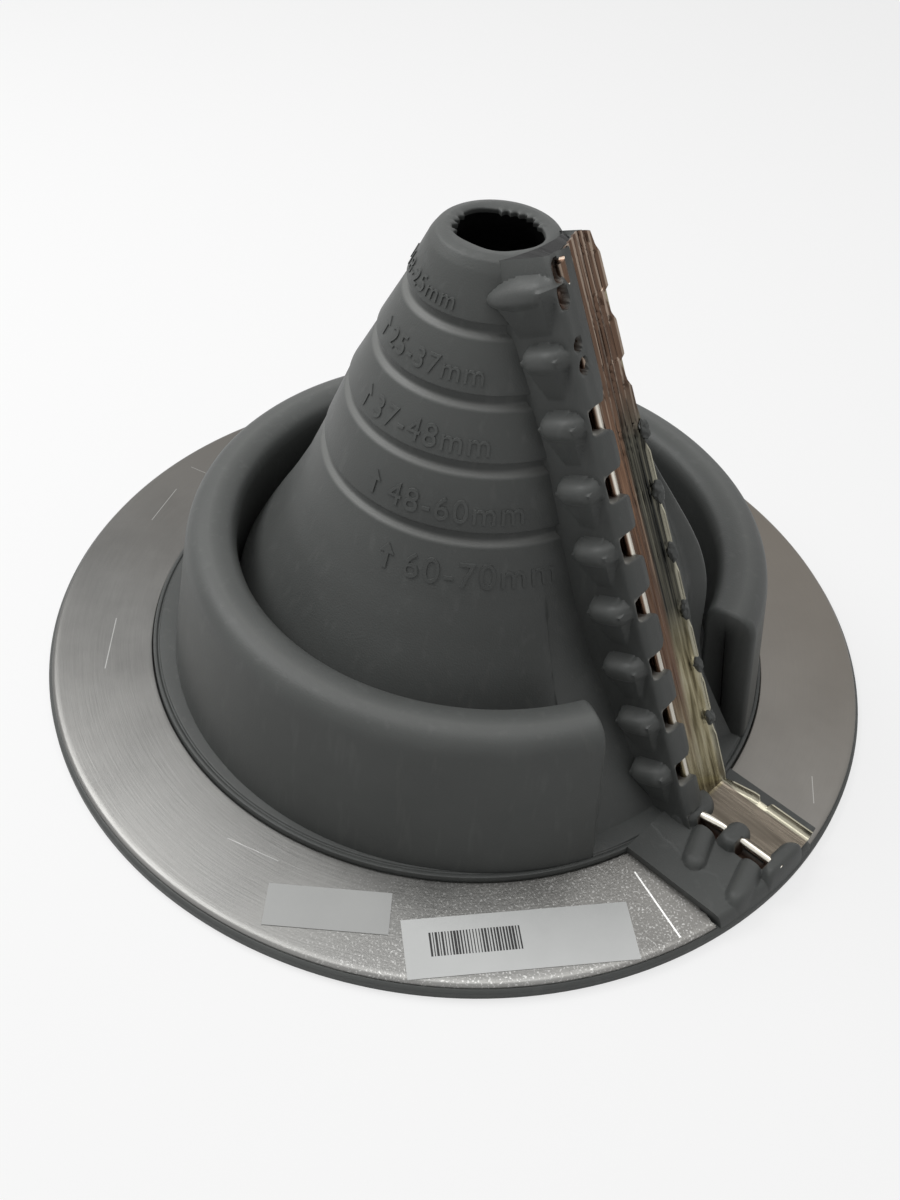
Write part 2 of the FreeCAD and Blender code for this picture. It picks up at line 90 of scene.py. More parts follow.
def eased(corners, radius=0.35, steps=3):
    """The same outline with each inner corner rounded off."""
    points = [np.array(c, float) for c in corners]
    line = [points[0]]
    for before, corner, after in zip(points, points[1:], points[2:]):
        back, on = before - corner, after - corner
        reach = min(radius, np.linalg.norm(back) * 0.45, np.linalg.norm(on) * 0.45)
        start = corner + back / np.linalg.norm(back) * reach
        end = corner + on / np.linalg.norm(on) * reach
        for t in np.linspace(0, 1, steps + 1):
            line.append((1 - t) ** 2 * start + 2 * t * (1 - t) * corner + t ** 2 * end)
    line.append(points[-1])
    return np.array(line)


def spaced(line, count):
    """A number of points evenly spaced along an outline."""
    line = np.asarray(line, float)
    run = np.concatenate([[0], np.cumsum(np.linalg.norm(np.diff(line, axis=0), axis=1))])
    at = np.linspace(0, run[-1], count)
    return np.stack([np.interp(at, run, line[:, 0]), np.interp(at, run, line[:, 1])], 1)


def bump(x, width, soft):
    """One inside a width and nothing outside, with soft sides."""
    t = np.clip((width / 2 + soft / 2 - np.abs(x)) / soft, 0, 1)
    return t * t * (3 - 2 * t)


RIDGES = [(34.9, 62.0), (29.8, 75.9), (24.2, 88.1), (18.5, 100.5)]
FLARE = [(57.5, 4.6), (54.8, 23.3), (50.4, 31.5), (44.9, 40.6), (39.6, 50.8)]
RAMP = [(72.0, 3.6), (45.4, 38.2)]
FAR_END, LUG_END = 16.5, -25.0
HOLE = 8.6
# From a ridge: its lip, the back of the lip, the groove above it and the next tier's foot.
STEP = [(0.0, 0.0), (-1.5, 0.8), (-1.85, 2.8), (-0.8, 3.0)]
step_line = [(ridge_r + dr, ridge_z + dz) for ridge_r, ridge_z in RIDGES for dr, dz in STEP]
cap_line = [(13.7, 112.0), (12.3, 113.9), (10.6, 114.4), (9.4, 114.3), (HOLE, 114.0),
            (HOLE + 0.1, 113.0)]
upper = eased([FLARE[-1]] + step_line + cap_line, 0.45)
foot = eased(FLARE, 4.0)
ramp_foot = eased([RAMP[0], RAMP[1], FLARE[-1]], 6.0)
UNDER = [(10.6, 112.4), (10.6, 109.0), (13.8, 100.5), (19.5, 88.1), (25.1, 75.9), (30.2, 62.0),
         (36.4, 50.8), (41.7, 40.6), (47.2, 31.5), (51.6, 23.3), (54.3, 0.0)]
turns = np.unique(np.concatenate([
    np.arange(-180, 180, 1.0), [FAR_END, FAR_END + 0.3, LUG_END, LUG_END - 0.3]]))
outer_rows = np.array([
    np.concatenate([spaced(ramp_foot if LUG_END <= turn <= FAR_END else foot, 26)[:-1], upper])
    for turn in turns])
count = outer_rows.shape[1]
under_line = spaced(np.array(UNDER[::-1], float), count)
radians = np.radians(turns)[:, None]


def round_the_axis(r, z, a=radians):
    """Points from radii and heights, one row for each direction."""
    return np.stack([r * np.cos(a), r * np.sin(a), z + 0 * a], -1)


# The hole was nibbled out with a knife: a few teeth at the back, an uneven edge at the front.
BITES, BITE_WIDE, HOLE_MARGIN = (58, 71, 86, 100, 113, 127, -172, -158, -146, -128), 5.0, 1.4
chance = np.random.default_rng(11)
bites = np.zeros(len(turns))
for place in BITES:
    depth = 0.75 + 0.35 * chance.random()
    bites += depth * np.clip(1 - np.abs((turns - place + 180) % 360 - 180) / BITE_WIDE, 0, 1)
wave = 0.5 * np.sin(np.radians(turns * 2 + 40)) + 0.25 * np.sin(np.radians(turns * 5))
hole_edge = np.clip((HOLE + HOLE_MARGIN - outer_rows[:, :, 0]) / HOLE_MARGIN, 0, 1)
outer_rows[:, :, 0] += hole_edge * (wave - bites)[:, None]
# The lip of each ridge is painted lighter: a painted highlight on its upward face, where the light from
# above falls.
ridge_highlight = sum(
    np.exp(-((outer_rows[:, :, 1] - ridge_z - 0.45) / 0.45) ** 2)
    * (np.abs(outer_rows[:, :, 0] - ridge_r + 0.7) < 1.2)
    for ridge_r, ridge_z in RIDGES)
cone = skin_mesh(
    "cone",
    round_the_axis(outer_rows[:, :, 0], outer_rows[:, :, 1]),
    round_the_axis(under_line[:, 0], under_line[:, 1]),
    closed=True, marks={"painted_highlight": ridge_highlight})


def shared(name, inputs, outputs):
    """An empty shader node group with its sockets, and its two end nodes."""
    group = bpy.data.node_groups.new(name, "ShaderNodeTree")
    for label, kind, value in inputs:
        socket = group.interface.new_socket(label, in_out="INPUT", socket_type="NodeSocket" + kind)
        if value is not None:
            socket.default_value = value
    for label, kind in outputs:
        group.interface.new_socket(label, in_out="OUTPUT", socket_type="NodeSocket" + kind)
    return group, group.nodes.new("NodeGroupInput"), group.nodes.new("NodeGroupOutput")


def add(tree, kind, links=None, **settings):
    """A node with its settings; links gives each input a socket or a value."""
    node = tree.nodes.new(kind)
    for key, value in settings.items():
        setattr(node, key, value)
    for key, value in (links or {}).items():
        if isinstance(value, bpy.types.NodeSocket):
            tree.links.new(value, node.inputs[key])
        else:
            node.inputs[key].default_value = value
    return node


def ramped(tree, value, *stops):
    """A colour ramp of grey stops or colours over a value."""
    node = add(tree, "ShaderNodeValToRGB", {"Fac": value})
    ramp = node.color_ramp
    for at, shade in stops[2:]:
        ramp.elements.new(at)
    for element, (at, shade) in zip(ramp.elements, stops):
        element.position = at
        element.color = (shade, shade, shade, 1) if isinstance(shade, float) else (*shade, 1)
    return node.outputs["Color"]


def mixed(tree, factor, a, b):
    """One colour mixed over another."""
    node = add(tree, "ShaderNodeMix", data_type="RGBA", clamp_factor=True)
    for key, value in ((0, factor), (6, a), (7, b)):
        if isinstance(value, bpy.types.NodeSocket):
            tree.links.new(value, node.inputs[key])
        else:
            node.inputs[key].default_value = value if key == 0 else (*value, 1)
    return node.outputs[2]


def counted(tree, operation, a, b=0.0, c=0.0, clamp=False):
    """One sum of two or three values."""
    return add(tree, "ShaderNodeMath", {0: a, 1: b, 2: c}, operation=operation,
               use_clamp=clamp).outputs[0]


def finish_tree(name):
    """A new finish, its node tree and its shader."""
    material = bpy.data.materials.new(name)
    material.use_nodes = True
    return material, material.node_tree, material.node_tree.nodes["Principled BSDF"]


# Grain of a worn rubber or sheet face: fine grit, slow patches and short rubbed streaks.
wear, given, result = shared(
    "worn_face",
    [("Vector", "Vector", None), ("Grit", "Float", 2600.0), ("Patch", "Float", 28.0),
     ("Streak", "Float", 420.0)],
    [("Grit", "Float"), ("Patch", "Float"), ("Streak", "Float")])
grit = add(wear, "ShaderNodeTexNoise", {"Vector": given.outputs[0], "Scale": given.outputs[1],
                                        "Detail": 3.0})
patch = add(wear, "ShaderNodeTexNoise", {"Vector": given.outputs[0], "Scale": given.outputs[2],
                                         "Detail": 4.0, "Roughness": 0.6})
squash = add(wear, "ShaderNodeVectorMath", {0: given.outputs[0], 1: (1.0, 1.0, 0.12)},
             operation="MULTIPLY")
streak = add(wear, "ShaderNodeTexNoise", {"Vector": squash.outputs[0], "Scale": given.outputs[3],
                                          "Detail": 2.0})
wear.links.new(grit.outputs["Fac"], result.inputs[0])
wear.links.new(patch.outputs["Fac"], result.inputs[1])
wear.links.new(ramped(wear, streak.outputs["Fac"], (0.58, 0.0), (0.72, 1.0)), result.inputs[2])

GREY, RUBBED, TORN, UNLIT = (0.084, 0.088, 0.085), (0.16, 0.165, 0.16), (0.34, 0.33, 0.30), (0.006,) * 3
# The second row holds the grey of the painted highlight and the two browns of the painted reflection in
# the windows.
HIGHLIGHT_GREY, DARK_BROWN_REFLECTION, BROWN_REFLECTION = (0.235, 0.24, 0.23), (0.045, 0.024, 0.018), (0.15, 0.105, 0.08)


def rubber_finish(name, with_marks=False):
    """Grey EPDM with a satin moulded face, mixed lighter where a painted highlight is marked and near
    black on its inner skin as painted shade; marks show bare metal in the windows of the lips, painted
    dark brown as a painted reflection.
    """
    material, tree, shader = finish_tree(name)
    place = add(tree, "ShaderNodeTexCoord").outputs["Object"]
    face = add(tree, "ShaderNodeGroup", {"Vector": place}, node_tree=wear)
    tone = ramped(tree, face.outputs["Patch"], (0.3, tuple(v * 0.88 for v in GREY)),
                  (0.72, tuple(v * 1.12 for v in GREY)))
    tone = mixed(tree, counted(tree, "MULTIPLY", face.outputs["Streak"], 0.16), tone, RUBBED)
    rough = counted(tree, "MULTIPLY_ADD", face.outputs["Patch"], 0.22, 0.34)
    height = counted(tree, "MULTIPLY_ADD", face.outputs["Patch"], 3.0, face.outputs["Grit"])
    relief = add(tree, "ShaderNodeBump", {"Height": height, "Strength": 0.16, "Distance": 0.0004})
    shader.inputs["Specular IOR Level"].default_value = 0.28
    # Painted highlight: the marked faces are mixed toward a lighter grey.
    painted_highlight = add(tree, "ShaderNodeAttribute", attribute_name="painted_highlight").outputs["Fac"]
    tone = mixed(tree, counted(tree, "MULTIPLY", painted_highlight, 0.7), tone, HIGHLIGHT_GREY)
    # The inner skin is painted near black: painted shade inside the hollow and the hole.
    inside = add(tree, "ShaderNodeAttribute", attribute_name="inside").outputs["Fac"]
    tone = mixed(tree, inside, tone, UNLIT)
    if with_marks:
        bare = add(tree, "ShaderNodeAttribute", attribute_name="bare").outputs["Fac"]
        torn = add(tree, "ShaderNodeAttribute", attribute_name="torn").outputs["Fac"]
        tone = mixed(tree, counted(tree, "MULTIPLY", torn, 0.75), tone, TORN)
        # Bare metal in the windows is painted dark brown: a painted reflection on the side of the bead.
        tone = mixed(tree, bare, tone, mixed(tree, face.outputs["Patch"], DARK_BROWN_REFLECTION, BROWN_REFLECTION))
        tree.links.new(counted(tree, "MULTIPLY", bare, 0.8), shader.inputs["Metallic"])
    tree.links.new(tone, shader.inputs["Base Color"])
    tree.links.new(rough, shader.inputs["Roughness"])
    tree.links.new(relief.outputs["Normal"], shader.inputs["Normal"])
    return material


rubber = rubber_finish("moulded_rubber")


def ours(piece, material):
    """Give a piece its finish and its place in the assembly."""
    piece.data.materials.append(material)
    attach(piece, "root")


ours(cone, rubber)
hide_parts("rubber_boot")

# Raised sizes on the tiers, each with an arrow to the ridge where the cone is cut: the words,
# the direction they face, the tier's radius, the height of their middle and their own height.
SIZES = [
    ("60-70mm", -46.0, 37.0, 56.6, 5.6),
    ("48-60mm", -57.0, 32.3, 69.4, 5.0),
    ("37-48mm", -74.0, 26.5, 82.6, 4.6),
    ("25-37mm", -82.0, 21.0, 94.9, 4.0),
    ("18-25mm", -110.0, 16.2, 106.4, 3.4),
]
ARROW = [(-0.09, 0.0), (0.09, 0.0), (0.09, 0.6), (0.3, 0.6), (0.0, 1.0), (-0.3, 0.6), (-0.09, 0.6)]
RAISED, ROOTED = 0.28, -0.5
tiers = [(ridge_r + dr, ridge_z + dz) for ridge_r, ridge_z in RIDGES for dr, dz in (STEP[0], STEP[-1])]
CONE_WALL = np.array(FLARE + tiers + cap_line[:1])


def on_cone(turn, z, lift):
    """Points on the cone's wall from a direction in degrees and a height."""
    r = np.interp(z, CONE_WALL[:, 1], CONE_WALL[:, 0]) + lift
    return np.stack([r * np.cos(np.radians(turn)), r * np.sin(np.radians(turn)), z], -1) * MM


lettering = bmesh.new()
for words, turn, radius, height, tall in SIZES:
    text = bpy.data.curves.new("size", "FONT")
    text.body = words
    text.size = tall * 1.38
    text.space_character = 1.12
    text.align_x = "CENTER"
    text.extrude = 0.5
    holder = bpy.data.objects.new("size", text)
    bpy.context.collection.objects.link(holder)
    bpy.context.view_layer.update()
    flat = bpy.data.meshes.new_from_object(holder.evaluated_get(bpy.context.evaluated_depsgraph_get()))
    arrow_x = min(v.co.x for v in flat.vertices) - tall * 0.75
    shapes = bmesh.new()
    shapes.from_mesh(flat)
    lower = [shapes.verts.new((arrow_x + a * tall, b * tall, -0.5)) for a, b in ARROW]
    higher = [shapes.verts.new((arrow_x + a * tall, b * tall, 0.5)) for a, b in ARROW]
    shapes.faces.new(lower[::-1])
    shapes.faces.new(higher)
    for k in range(len(ARROW)):
        nxt = (k + 1) % len(ARROW)
        shapes.faces.new((lower[k], lower[nxt], higher[nxt], higher[k]))
    for vert in shapes.verts:
        x, y, w = vert.co
        vert.co = on_cone(turn + math.degrees(x / radius), height - tall / 2 + y * 0.94,
                          RAISED if w > 0 else ROOTED)
    shapes.to_mesh(flat)
    shapes.free()
    lettering.from_mesh(flat)
    bpy.data.objects.remove(holder)
words_mesh = bpy.data.meshes.new("raised_sizes")
lettering.to_mesh(words_mesh)
lettering.free()
raised_sizes = finished("raised_sizes", words_mesh)
ours(raised_sizes, rubber)

# ---------------------------------------------------------------- the fold
# The wall that stands round the cone: the same rubber folded back on itself, so the cone can
# tilt with the roof. It is hollow, open below, and closed at both sides of the split.
FOLD_SHIFT, FOLD_FOOT, FOLD_TOP, FOLD_WALL, END_WALL, END_ROUND = 3.0, 4.4, 41.6, 3.2, 5.85, 1.2
FOLD_OUTSIDE, FOLD_INSIDE = (73.1, 67.5), (61.1, 55.7)  # radius at the foot and at the top


def fold_section(inset):
    """Outside of the fold, or its hollow, as radius and height, from the outer foot inward."""
    top = FOLD_TOP - inset
    out = [(FOLD_OUTSIDE[0] - inset, FOLD_FOOT), (FOLD_OUTSIDE[1] - inset, top)]
    back = [(FOLD_INSIDE[1] + inset, top), (FOLD_INSIDE[0] + inset, FOLD_FOOT)]
    return eased(out + back, 5.6 - inset * 0.5, 9)


NEAR_END = np.array([0, .02, .08, .2, .4, .7, 1.0, 1.4])
fold_turns = np.concatenate([
    FAR_END + NEAR_END, np.arange(FAR_END + 2.4, 360 + LUG_END - 2, 1.5),
    360 + LUG_END - NEAR_END[::-1]])
fold_rows, hollow_rows = [], []
for turn in fold_turns:
    away = min(turn - FAR_END, 360 + LUG_END - turn) * math.radians(1) * 67
    inset = END_ROUND - math.sqrt(max(END_ROUND ** 2 - max(END_ROUND - away, 0) ** 2, 0))
    fold_rows.append(spaced(fold_section(inset), 64))
    hollow_rows.append(spaced(fold_section(FOLD_WALL if away > 3.0 else END_WALL), 64))
fold_rows, hollow_rows = np.array(fold_rows), np.array(hollow_rows)
fold_radians = np.radians(fold_turns)[:, None]
fold_outer = round_the_axis(fold_rows[:, :, 0], fold_rows[:, :, 1], fold_radians)
fold_inner = round_the_axis(hollow_rows[:, :, 0], hollow_rows[:, :, 1], fold_radians)
# A painted highlight along the top of the fold's rounded rim.
rim_highlight = np.exp(-((fold_rows[:, :, 0] - 62.8) / 1.5) ** 2) * np.clip((fold_rows[:, :, 1] - 38) / 3, 0, 1)
fold_outer[..., 0] += FOLD_SHIFT
fold_inner[..., 0] += FOLD_SHIFT
fold = skin_mesh("fold", fold_outer, fold_inner, marks={"painted_highlight": 0.32 * rim_highlight})
ours(fold, rubber)

# ---------------------------------------------------------------- the flange
# The round pad under the ring, with the raised band that holds the ring's inner edge.
flange_line = eased([
    (60.5, 4.4), (70, 5.4), (74.9, 5.4), (75.1, 5.0), (75.5, 5.0), (75.7, 5.4), (76.5, 5.4),
    (76.6, 3.0), (100.9, 3.0), (101.5, 2.4), (101.5, 0.5), (101.0, 0.0)], 0.25)
flange_under = spaced([(61.5, 0.4), (70, 0.2), (90, 0.0), (100.6, 0.0)], len(flange_line))
flange_turns = np.radians(np.arange(0, 360, 1.5))[:, None]
flange = skin_mesh(
    "flange",
    round_the_axis(flange_line[:, 0], flange_line[:, 1], flange_turns),
    round_the_axis(flange_under[:, 0], flange_under[:, 1], flange_turns),
    closed=True)
ours(flange, rubber)

# ---------------------------------------------------------------- the lips of the split
# The two thick lips where the cone opens. Lugs on one side give pliers something to grip, and
# the tabs between them lap over the bead of the metal strip.
FOOT, TOP = np.array([76.8, 0, 6.2]), np.array([17.9, 0, 120.3])
LENGTH = float(np.linalg.norm(TOP - FOOT))
UP = (TOP - FOOT) / LENGTH
OUT = np.array([UP[2], 0, -UP[0]])
ACROSS = np.array([0, 1.0, 0])
PITCH, FIRST_LUG, FIRST_TAB, LUGS = 13.65, 13.1, 6.4, 9


def on_strip(s, n, y):
    """Points from the distance up the strip, off its face and across it."""
    s, n, y = np.broadcast_arrays(s, n, y)
    return FOOT + s[..., None] * UP + n[..., None] * OUT + y[..., None] * ACROSS


def cone_wall(z, inside):
    """Radius of the cone, or of the ramp beside the split, so far inside its outer face."""
    (foot_r, foot_z), (head_r, head_z) = RAMP
    ramp = np.where(z < head_z, np.interp(z, [foot_z, head_z], [foot_r, head_r]), 0)
    return np.maximum(np.interp(z, CONE_WALL[:, 1], CONE_WALL[:, 0], right=-5.0), ramp) - inside


# The edge that laps over the bead, as height off the strip and place across it: where there is
# a tab, in the window between two tabs, and at the top, where the tabs run into one sheet.
TAB = spaced([(-0.7, -0.9), (-0.7, -3.4), (0.9, -3.6), (1.9, -3.9), (2.6, -4.8), (3.05, -6.2),
              (3.1, -7.6), (3.1, -9.0), (3.1, -10.7)], 30)
WINDOW = spaced([(-0.7, -0.9), (-0.7, -3.4), (-0.9, -5.0), (-1.6, -6.2), (-1.8, -8.8), (-1.2, -9.7),
                 (1.9, -9.9), (2.6, -10.3), (3.1, -10.7)], 30)
SHEET = spaced([(-0.7, -0.9), (-0.7, -3.0), (0.9, -3.2), (1.5, -3.6), (1.9, -4.8), (2.3, -6.4),
                (2.4, -7.8), (2.6, -9.0), (3.1, -10.7)], 30)
TAB_HALF, TAB_ROUND, SHEET_FROM = 4.35, 4.7, 96
# Slots torn in the sheet: place up and across the strip, length and width.
SLOTS = [(124.2, -8.6, 4.2, 1.5), (119.6, -8.9, 4.6, 2.1), (110.4, -8.2, 2.6, 1.3),
         (106.2, -8.0, 3.2, 1.6)]
SLOT_DEEP = 2.0
LUG_TALL, LUG_HALF_HIGH, WEDGE_TALL, WEDGE_LONG = 3.9, 2.85, 3.2, 8.6
LUG_PLACE, LAST_LUG_PLACE = (6.8, 5.0), (9.2, 8.2)  # middle and half length, down the flank
# The crest of the far lip: place up the strip, across it and off it.
CREST = np.array([(-4, 21.8, -5.4), (0, 21.2, -5.7), (12, 19.3, -6.9), (27, 17.1, -7.6),
                  (32.8, 16.9, -5.6), (41.4, 16.7, -1.5), (50.1, 16.3, 1.0), (56.1, 15.4, 1.2),
                  (62.5, 14.3, 0.3), (68.9, 13.0, -1.2), (80, 11.0, -3.8), (96, 9.0, -4.8),
                  (130, 7.4, -4.6)])


def lapping_edge(s, rag):
    """The edge over the bead at one height: its line, its bare and torn marks, the share of tab."""
    number = np.clip(np.round((s - FIRST_TAB) / PITCH), 0, LUGS - 1)
    from_tab = s - (FIRST_TAB + PITCH * number)
    half = TAB_HALF + 0.4 * np.sin(number * 2.3) + rag * 1.4
    tab = 1.0 if s > FIRST_TAB + PITCH * (LUGS - 1) else float(bump(from_tab, 2 * half, 0.9))
    # A tab's free end is round: it laps less of the bead near its corners.
    lap = 0.4 * abs(from_tab) / 6
    if s < 100:
        lap = TAB_ROUND - math.sqrt(max(TAB_ROUND ** 2 - from_tab ** 2, 0.6))
    lobe = TAB.copy()
    lobe[:, 1] = np.where(lobe[:, 1] > -8.5, np.minimum(lobe[:, 1], -3.6 - lap), lobe[:, 1])
    lobe[:8, 1] = TAB[:8, 1]
    sheet = float(np.clip((s - SHEET_FROM) / 6, 0, 1))
    tab = tab * (1 - sheet) + sheet
    edge = (lobe * (1 - sheet) + SHEET * sheet) * tab + WINDOW * (1 - tab)
    edge[-5:, 1] += rag * np.array([0.6, 1, 0.6, 0.2, 0]) * (1 - tab)
    bare = (1 - tab) * (edge[:, 1] > -9.8) * (edge[:, 0] < 0.6)
    torn = np.exp(-((edge[:, 1] + 10.1) / 0.45) ** 2) * (1 - tab)
    torn = torn + 3.2 * tab * (1 - tab) * (edge[:, 0] > 0.4) * (1 - sheet)
    for slot_s, slot_y, tall, wide in SLOTS:
        along = (s - slot_s) / (tall / 2)
        if abs(along) < 1:
            half = wide / 2 * math.sqrt(1 - along ** 2) + 0.12 * rag
            pit = bump(edge[:, 1] - slot_y - 0.25 * along, 2 * half, 0.5)
            edge[:, 0] -= pit * SLOT_DEEP
            bare = np.maximum(bare, pit)
            torn = np.maximum(torn, 3.0 * pit * (1 - pit))
    ending = np.clip((s - 118) / 9.5, 0, 1)
    edge[8:, 0] -= 2.4 * ending ** 2 * np.clip((-3.0 - edge[8:, 1]) / 5, 0, 1)
    edge[8:, 1] += 1.8 * ending ** 2 * np.clip((-3.0 - edge[8:, 1]) / 5, 0, 1)
    return edge, bare, torn, tab


def lug_flank(s, corner):
    """The flank from the edge's corner down to the cone, with the lug or wedge on it there."""
    ahead = np.arange(0, 40, 0.25)
    base = on_strip(s, corner[0] - ahead, corner[1])
    outside = np.hypot(base[:, 0], base[:, 1]) > cone_wall(base[:, 2], 1.6)
    deep = 0.25 * int(np.argmin(outside)) if not outside.all() else 24.0
    run = np.concatenate([[0.35], np.linspace(0.8, np.clip(deep, 14.0, 24.0), 54)])
    lift = np.zeros(len(run))
    for i in range(LUGS):
        last = i == LUGS - 1
        middle, half = LAST_LUG_PLACE if last else LUG_PLACE
        lean = 0.06 * (run - 9) if last else 0
        above = s - (FIRST_LUG + PITCH * i - (1.0 if last else 0.0)) + lean
        along = (run - middle) / half
        slim = np.clip(1 - 0.35 * np.clip(along, 0, 1.2), 0.4, 1) if last else 1.0
        pillow = 1 - np.abs(along) ** 3.4 - np.abs(above / (LUG_HALF_HIGH * slim)) ** 2.6
        pillow = np.clip(pillow, 0, 1) ** 0.5 * LUG_TALL
        # Under each lug a wedge narrows and fades into the flank.
        drop = np.clip(-above, 0, 8.5)
        left, right = half * (0.7 if last else 1) - 0.22 * drop, -half + 0.40 * drop
        inside = (np.clip((left - (run - middle)) / 0.4, 0, 1)
                  * np.clip(((run - middle) - right) / 0.4, 0, 1))
        wedge = np.where(above < 0.5, WEDGE_TALL * (1 - drop / WEDGE_LONG) * inside, 0)
        lift = np.maximum(lift, np.maximum(pillow, wedge))
    across = corner[1] - lift
    across[0] += 0.12
    return np.stack([corner[0] - run, across], 1)


def far_side(s):
    """The far lip at one height, from behind its crest to the strip, and the painted highlight along its
    crest.
    """
    near = s + np.linspace(-7, 7, 15)
    crest_y = np.interp(near, CREST[:, 0], CREST[:, 1]).mean()
    crest_n = np.interp(near, CREST[:, 0], CREST[:, 2]).mean()
    hidden = float(np.clip((s - 74) / 16, 0, 1))
    shelf_n, shelf_y = 0.5 - 3.6 * hidden, 7.4 - 1.4 * hidden
    valley = min(crest_n, 0.4) - 2.4 * (1 - 0.8 * hidden)
    line = eased([
        (-0.7, -0.9), (-0.7, 4.6 - 1.2 * hidden), (shelf_n - 0.1, 6.2 - 1.6 * hidden),
        (shelf_n, shelf_y), (valley, shelf_y + (crest_y - shelf_y) * 0.5), (crest_n, crest_y),
        (crest_n - 4.5, crest_y + 0.7), (crest_n - 11, crest_y + 1.6)], 1.1, 3)[:0:-1]
    # A painted highlight along the rounded crest.
    crest_highlight = np.exp(-((line[:, 0] - crest_n) / 0.7) ** 2 - ((line[:, 1] - crest_y) / 0.9) ** 2)
    return line, 0.6 * crest_highlight * np.clip((s - 18) / 12, 0, 1) * np.clip((80 - s) / 10, 0, 1)


def soften(section, corner, share):
    """Round off the corner between the lapping edge and the flank."""
    away = np.abs(np.arange(len(section)) - corner)
    softness = (np.clip(1.1 - away / 5.0, 0, 1) * (0.35 + 0.65 * share))[1:-1, None]
    for _ in range(20):
        section[1:-1] += 0.5 * softness * ((section[2:] + section[:-2]) / 2 - section[1:-1])


chance = np.random.default_rng(7)
up_strip = np.arange(-3.0, LENGTH - 0.9, 0.36)
ragged = np.interp(up_strip, np.arange(-4, 140, 0.9), chance.normal(0, 0.16, 160))
sections, bare_rows, torn_rows, highlight_rows = [], [], [], []
for s, rag in zip(up_strip, ragged):
    edge, bare, torn, share = lapping_edge(s, rag)
    flank = lug_flank(s, edge[-1])
    far, crest_highlight = far_side(s)
    section = np.concatenate([far, edge, flank])
    soften(section, len(far) + len(edge) - 1, share)
    sections.append(section)
    off_far, off_edge, off_flank = np.zeros(len(far)), np.zeros(len(edge)), np.zeros(len(flank))
    bare_rows.append(np.concatenate([off_far, bare, off_flank]))
    torn_rows.append(np.concatenate([off_far, torn, off_flank]))
    highlight_rows.append(np.concatenate([crest_highlight, off_edge, off_flank]))
sections = np.array(sections)
lips_outer = on_strip(up_strip[:, None], sections[:, :, 0], sections[:, :, 1])


def wall_middle(points):
    """The same points taken inward, square to the strip, to the middle of the cone's wall."""
    moved = points.copy()
    done = np.zeros(points.shape[:2], bool)
    for _ in range(140):
        out = np.hypot(moved[..., 0], moved[..., 1])
        done |= (out < cone_wall(moved[..., 2], 1.7)) | (out < 12.2)
        moved[~done] -= 0.25 * OUT
    return moved


lips_inner = wall_middle(lips_outer)

# At the top the lips are drawn together with the cap in a few pleats that run to the hole.
PLEATS, PLEAT_DEEP, CAP_THICK = 16, 1.6, 1.6
end_outer, end_inner = lips_outer[-1], lips_inner[-1]
angle = np.arctan2(end_outer[:, 1], end_outer[:, 0])
cap_place = np.stack([9.9 * np.cos(angle), 9.9 * np.sin(angle), 114.1 + 0 * angle], -1)
held = np.clip((end_outer[:, 2] - 110.5) / 3.0, 0, 1)[:, None]
cap_place = cap_place * held + end_outer * (1 - held)
pleats_outer, pleats_inner = [], []
for t in np.linspace(0.06, 1, PLEATS):
    bend = t ** 0.8
    row = end_outer * (1 - bend) + cap_place * bend
    fall = PLEAT_DEEP * math.sin(math.pi * t ** 0.7)
    fall = fall + 0.5 * np.sin(angle * 9 + 1.2) * math.sin(math.pi * t)
    row[:, 2] -= fall * held[:, 0]
    pleats_outer.append(row)
    under = row - np.array([0, 0, CAP_THICK])
    pleats_inner.append(under * held + end_inner * (1 - held))
lips_outer = np.concatenate([lips_outer, pleats_outer])
lips_inner = np.concatenate([lips_inner, pleats_inner])
for grid in (lips_outer, lips_inner):
    grid[..., 2] = np.maximum(grid[..., 2], 0.3)
blank = np.zeros((PLEATS, lips_outer.shape[1]))
lips = skin_mesh("split_lips", lips_outer, lips_inner, marks={
    "bare": np.concatenate([bare_rows, blank]),
    "torn": np.clip(np.concatenate([torn_rows, blank]), 0, 1),
    "painted_highlight": np.concatenate([highlight_rows, blank])})
lip_rubber = rubber_finish("lip_rubber", with_marks=True)
ours(lips, lip_rubber)

# On the flange the lip lies flat: two long lugs, lobes over the bead, and a scalloped edge of
# flash that runs over the cut end of the ring.
LIP_FROM, LIP_TO, LIP_SKIN, FLASH_TOP, UNDER_WEB = 72.6, 101.3, 4.35, 2.6, 5.2
FLAT_LUGS = [((82.6, -9.6), (85.0, -16.4)), ((94.9, -9.4), (96.9, -17.2))]  # from, to
LOBES = [(76.2, -6.6, 4.4, 4.0), (87.7, -6.6, 2.9, 4.0), (99.6, -6.2, 3.6, 7.4)]  # place, half, reach
FLAT_WINDOWS = [(82.6, 5.6), (93.4, 7.4)]  # middle and length
across_line = np.arange(-24.2, 12.01, 0.3)
along_line = np.linspace(0, 1, 96)
far_x = np.sqrt(LIP_TO ** 2 - across_line ** 2)
lip_x = LIP_FROM + along_line[:, None] ** 0.97 * (far_x - LIP_FROM)[None, :]
lip_y = np.tile(across_line, (len(along_line), 1))


def slant(x, y, a, b, radius, tall, flat=2.4):
    """Height of a rounded bar that lies from one point to another."""
    a, b = np.array(a), np.array(b)
    along = ((x - a[0]) * (b - a)[0] + (y - a[1]) * (b - a)[1]) / ((b - a) @ (b - a))
    along = np.clip(along, 0, 1)
    away = np.hypot(x - a[0] - along * (b - a)[0], y - a[1] - along * (b - a)[1]) / radius
    return tall * np.clip(1 - away ** flat, 0, 1) ** 0.5


def lobe(place, half, reach, tall):
    """Height of a lobe that laps over the bead from one place."""
    x0, y0 = place
    return slant(lip_x, lip_y, (x0, y0), (x0 + 0.4, y0 + reach - 2), half, tall, 5.0)


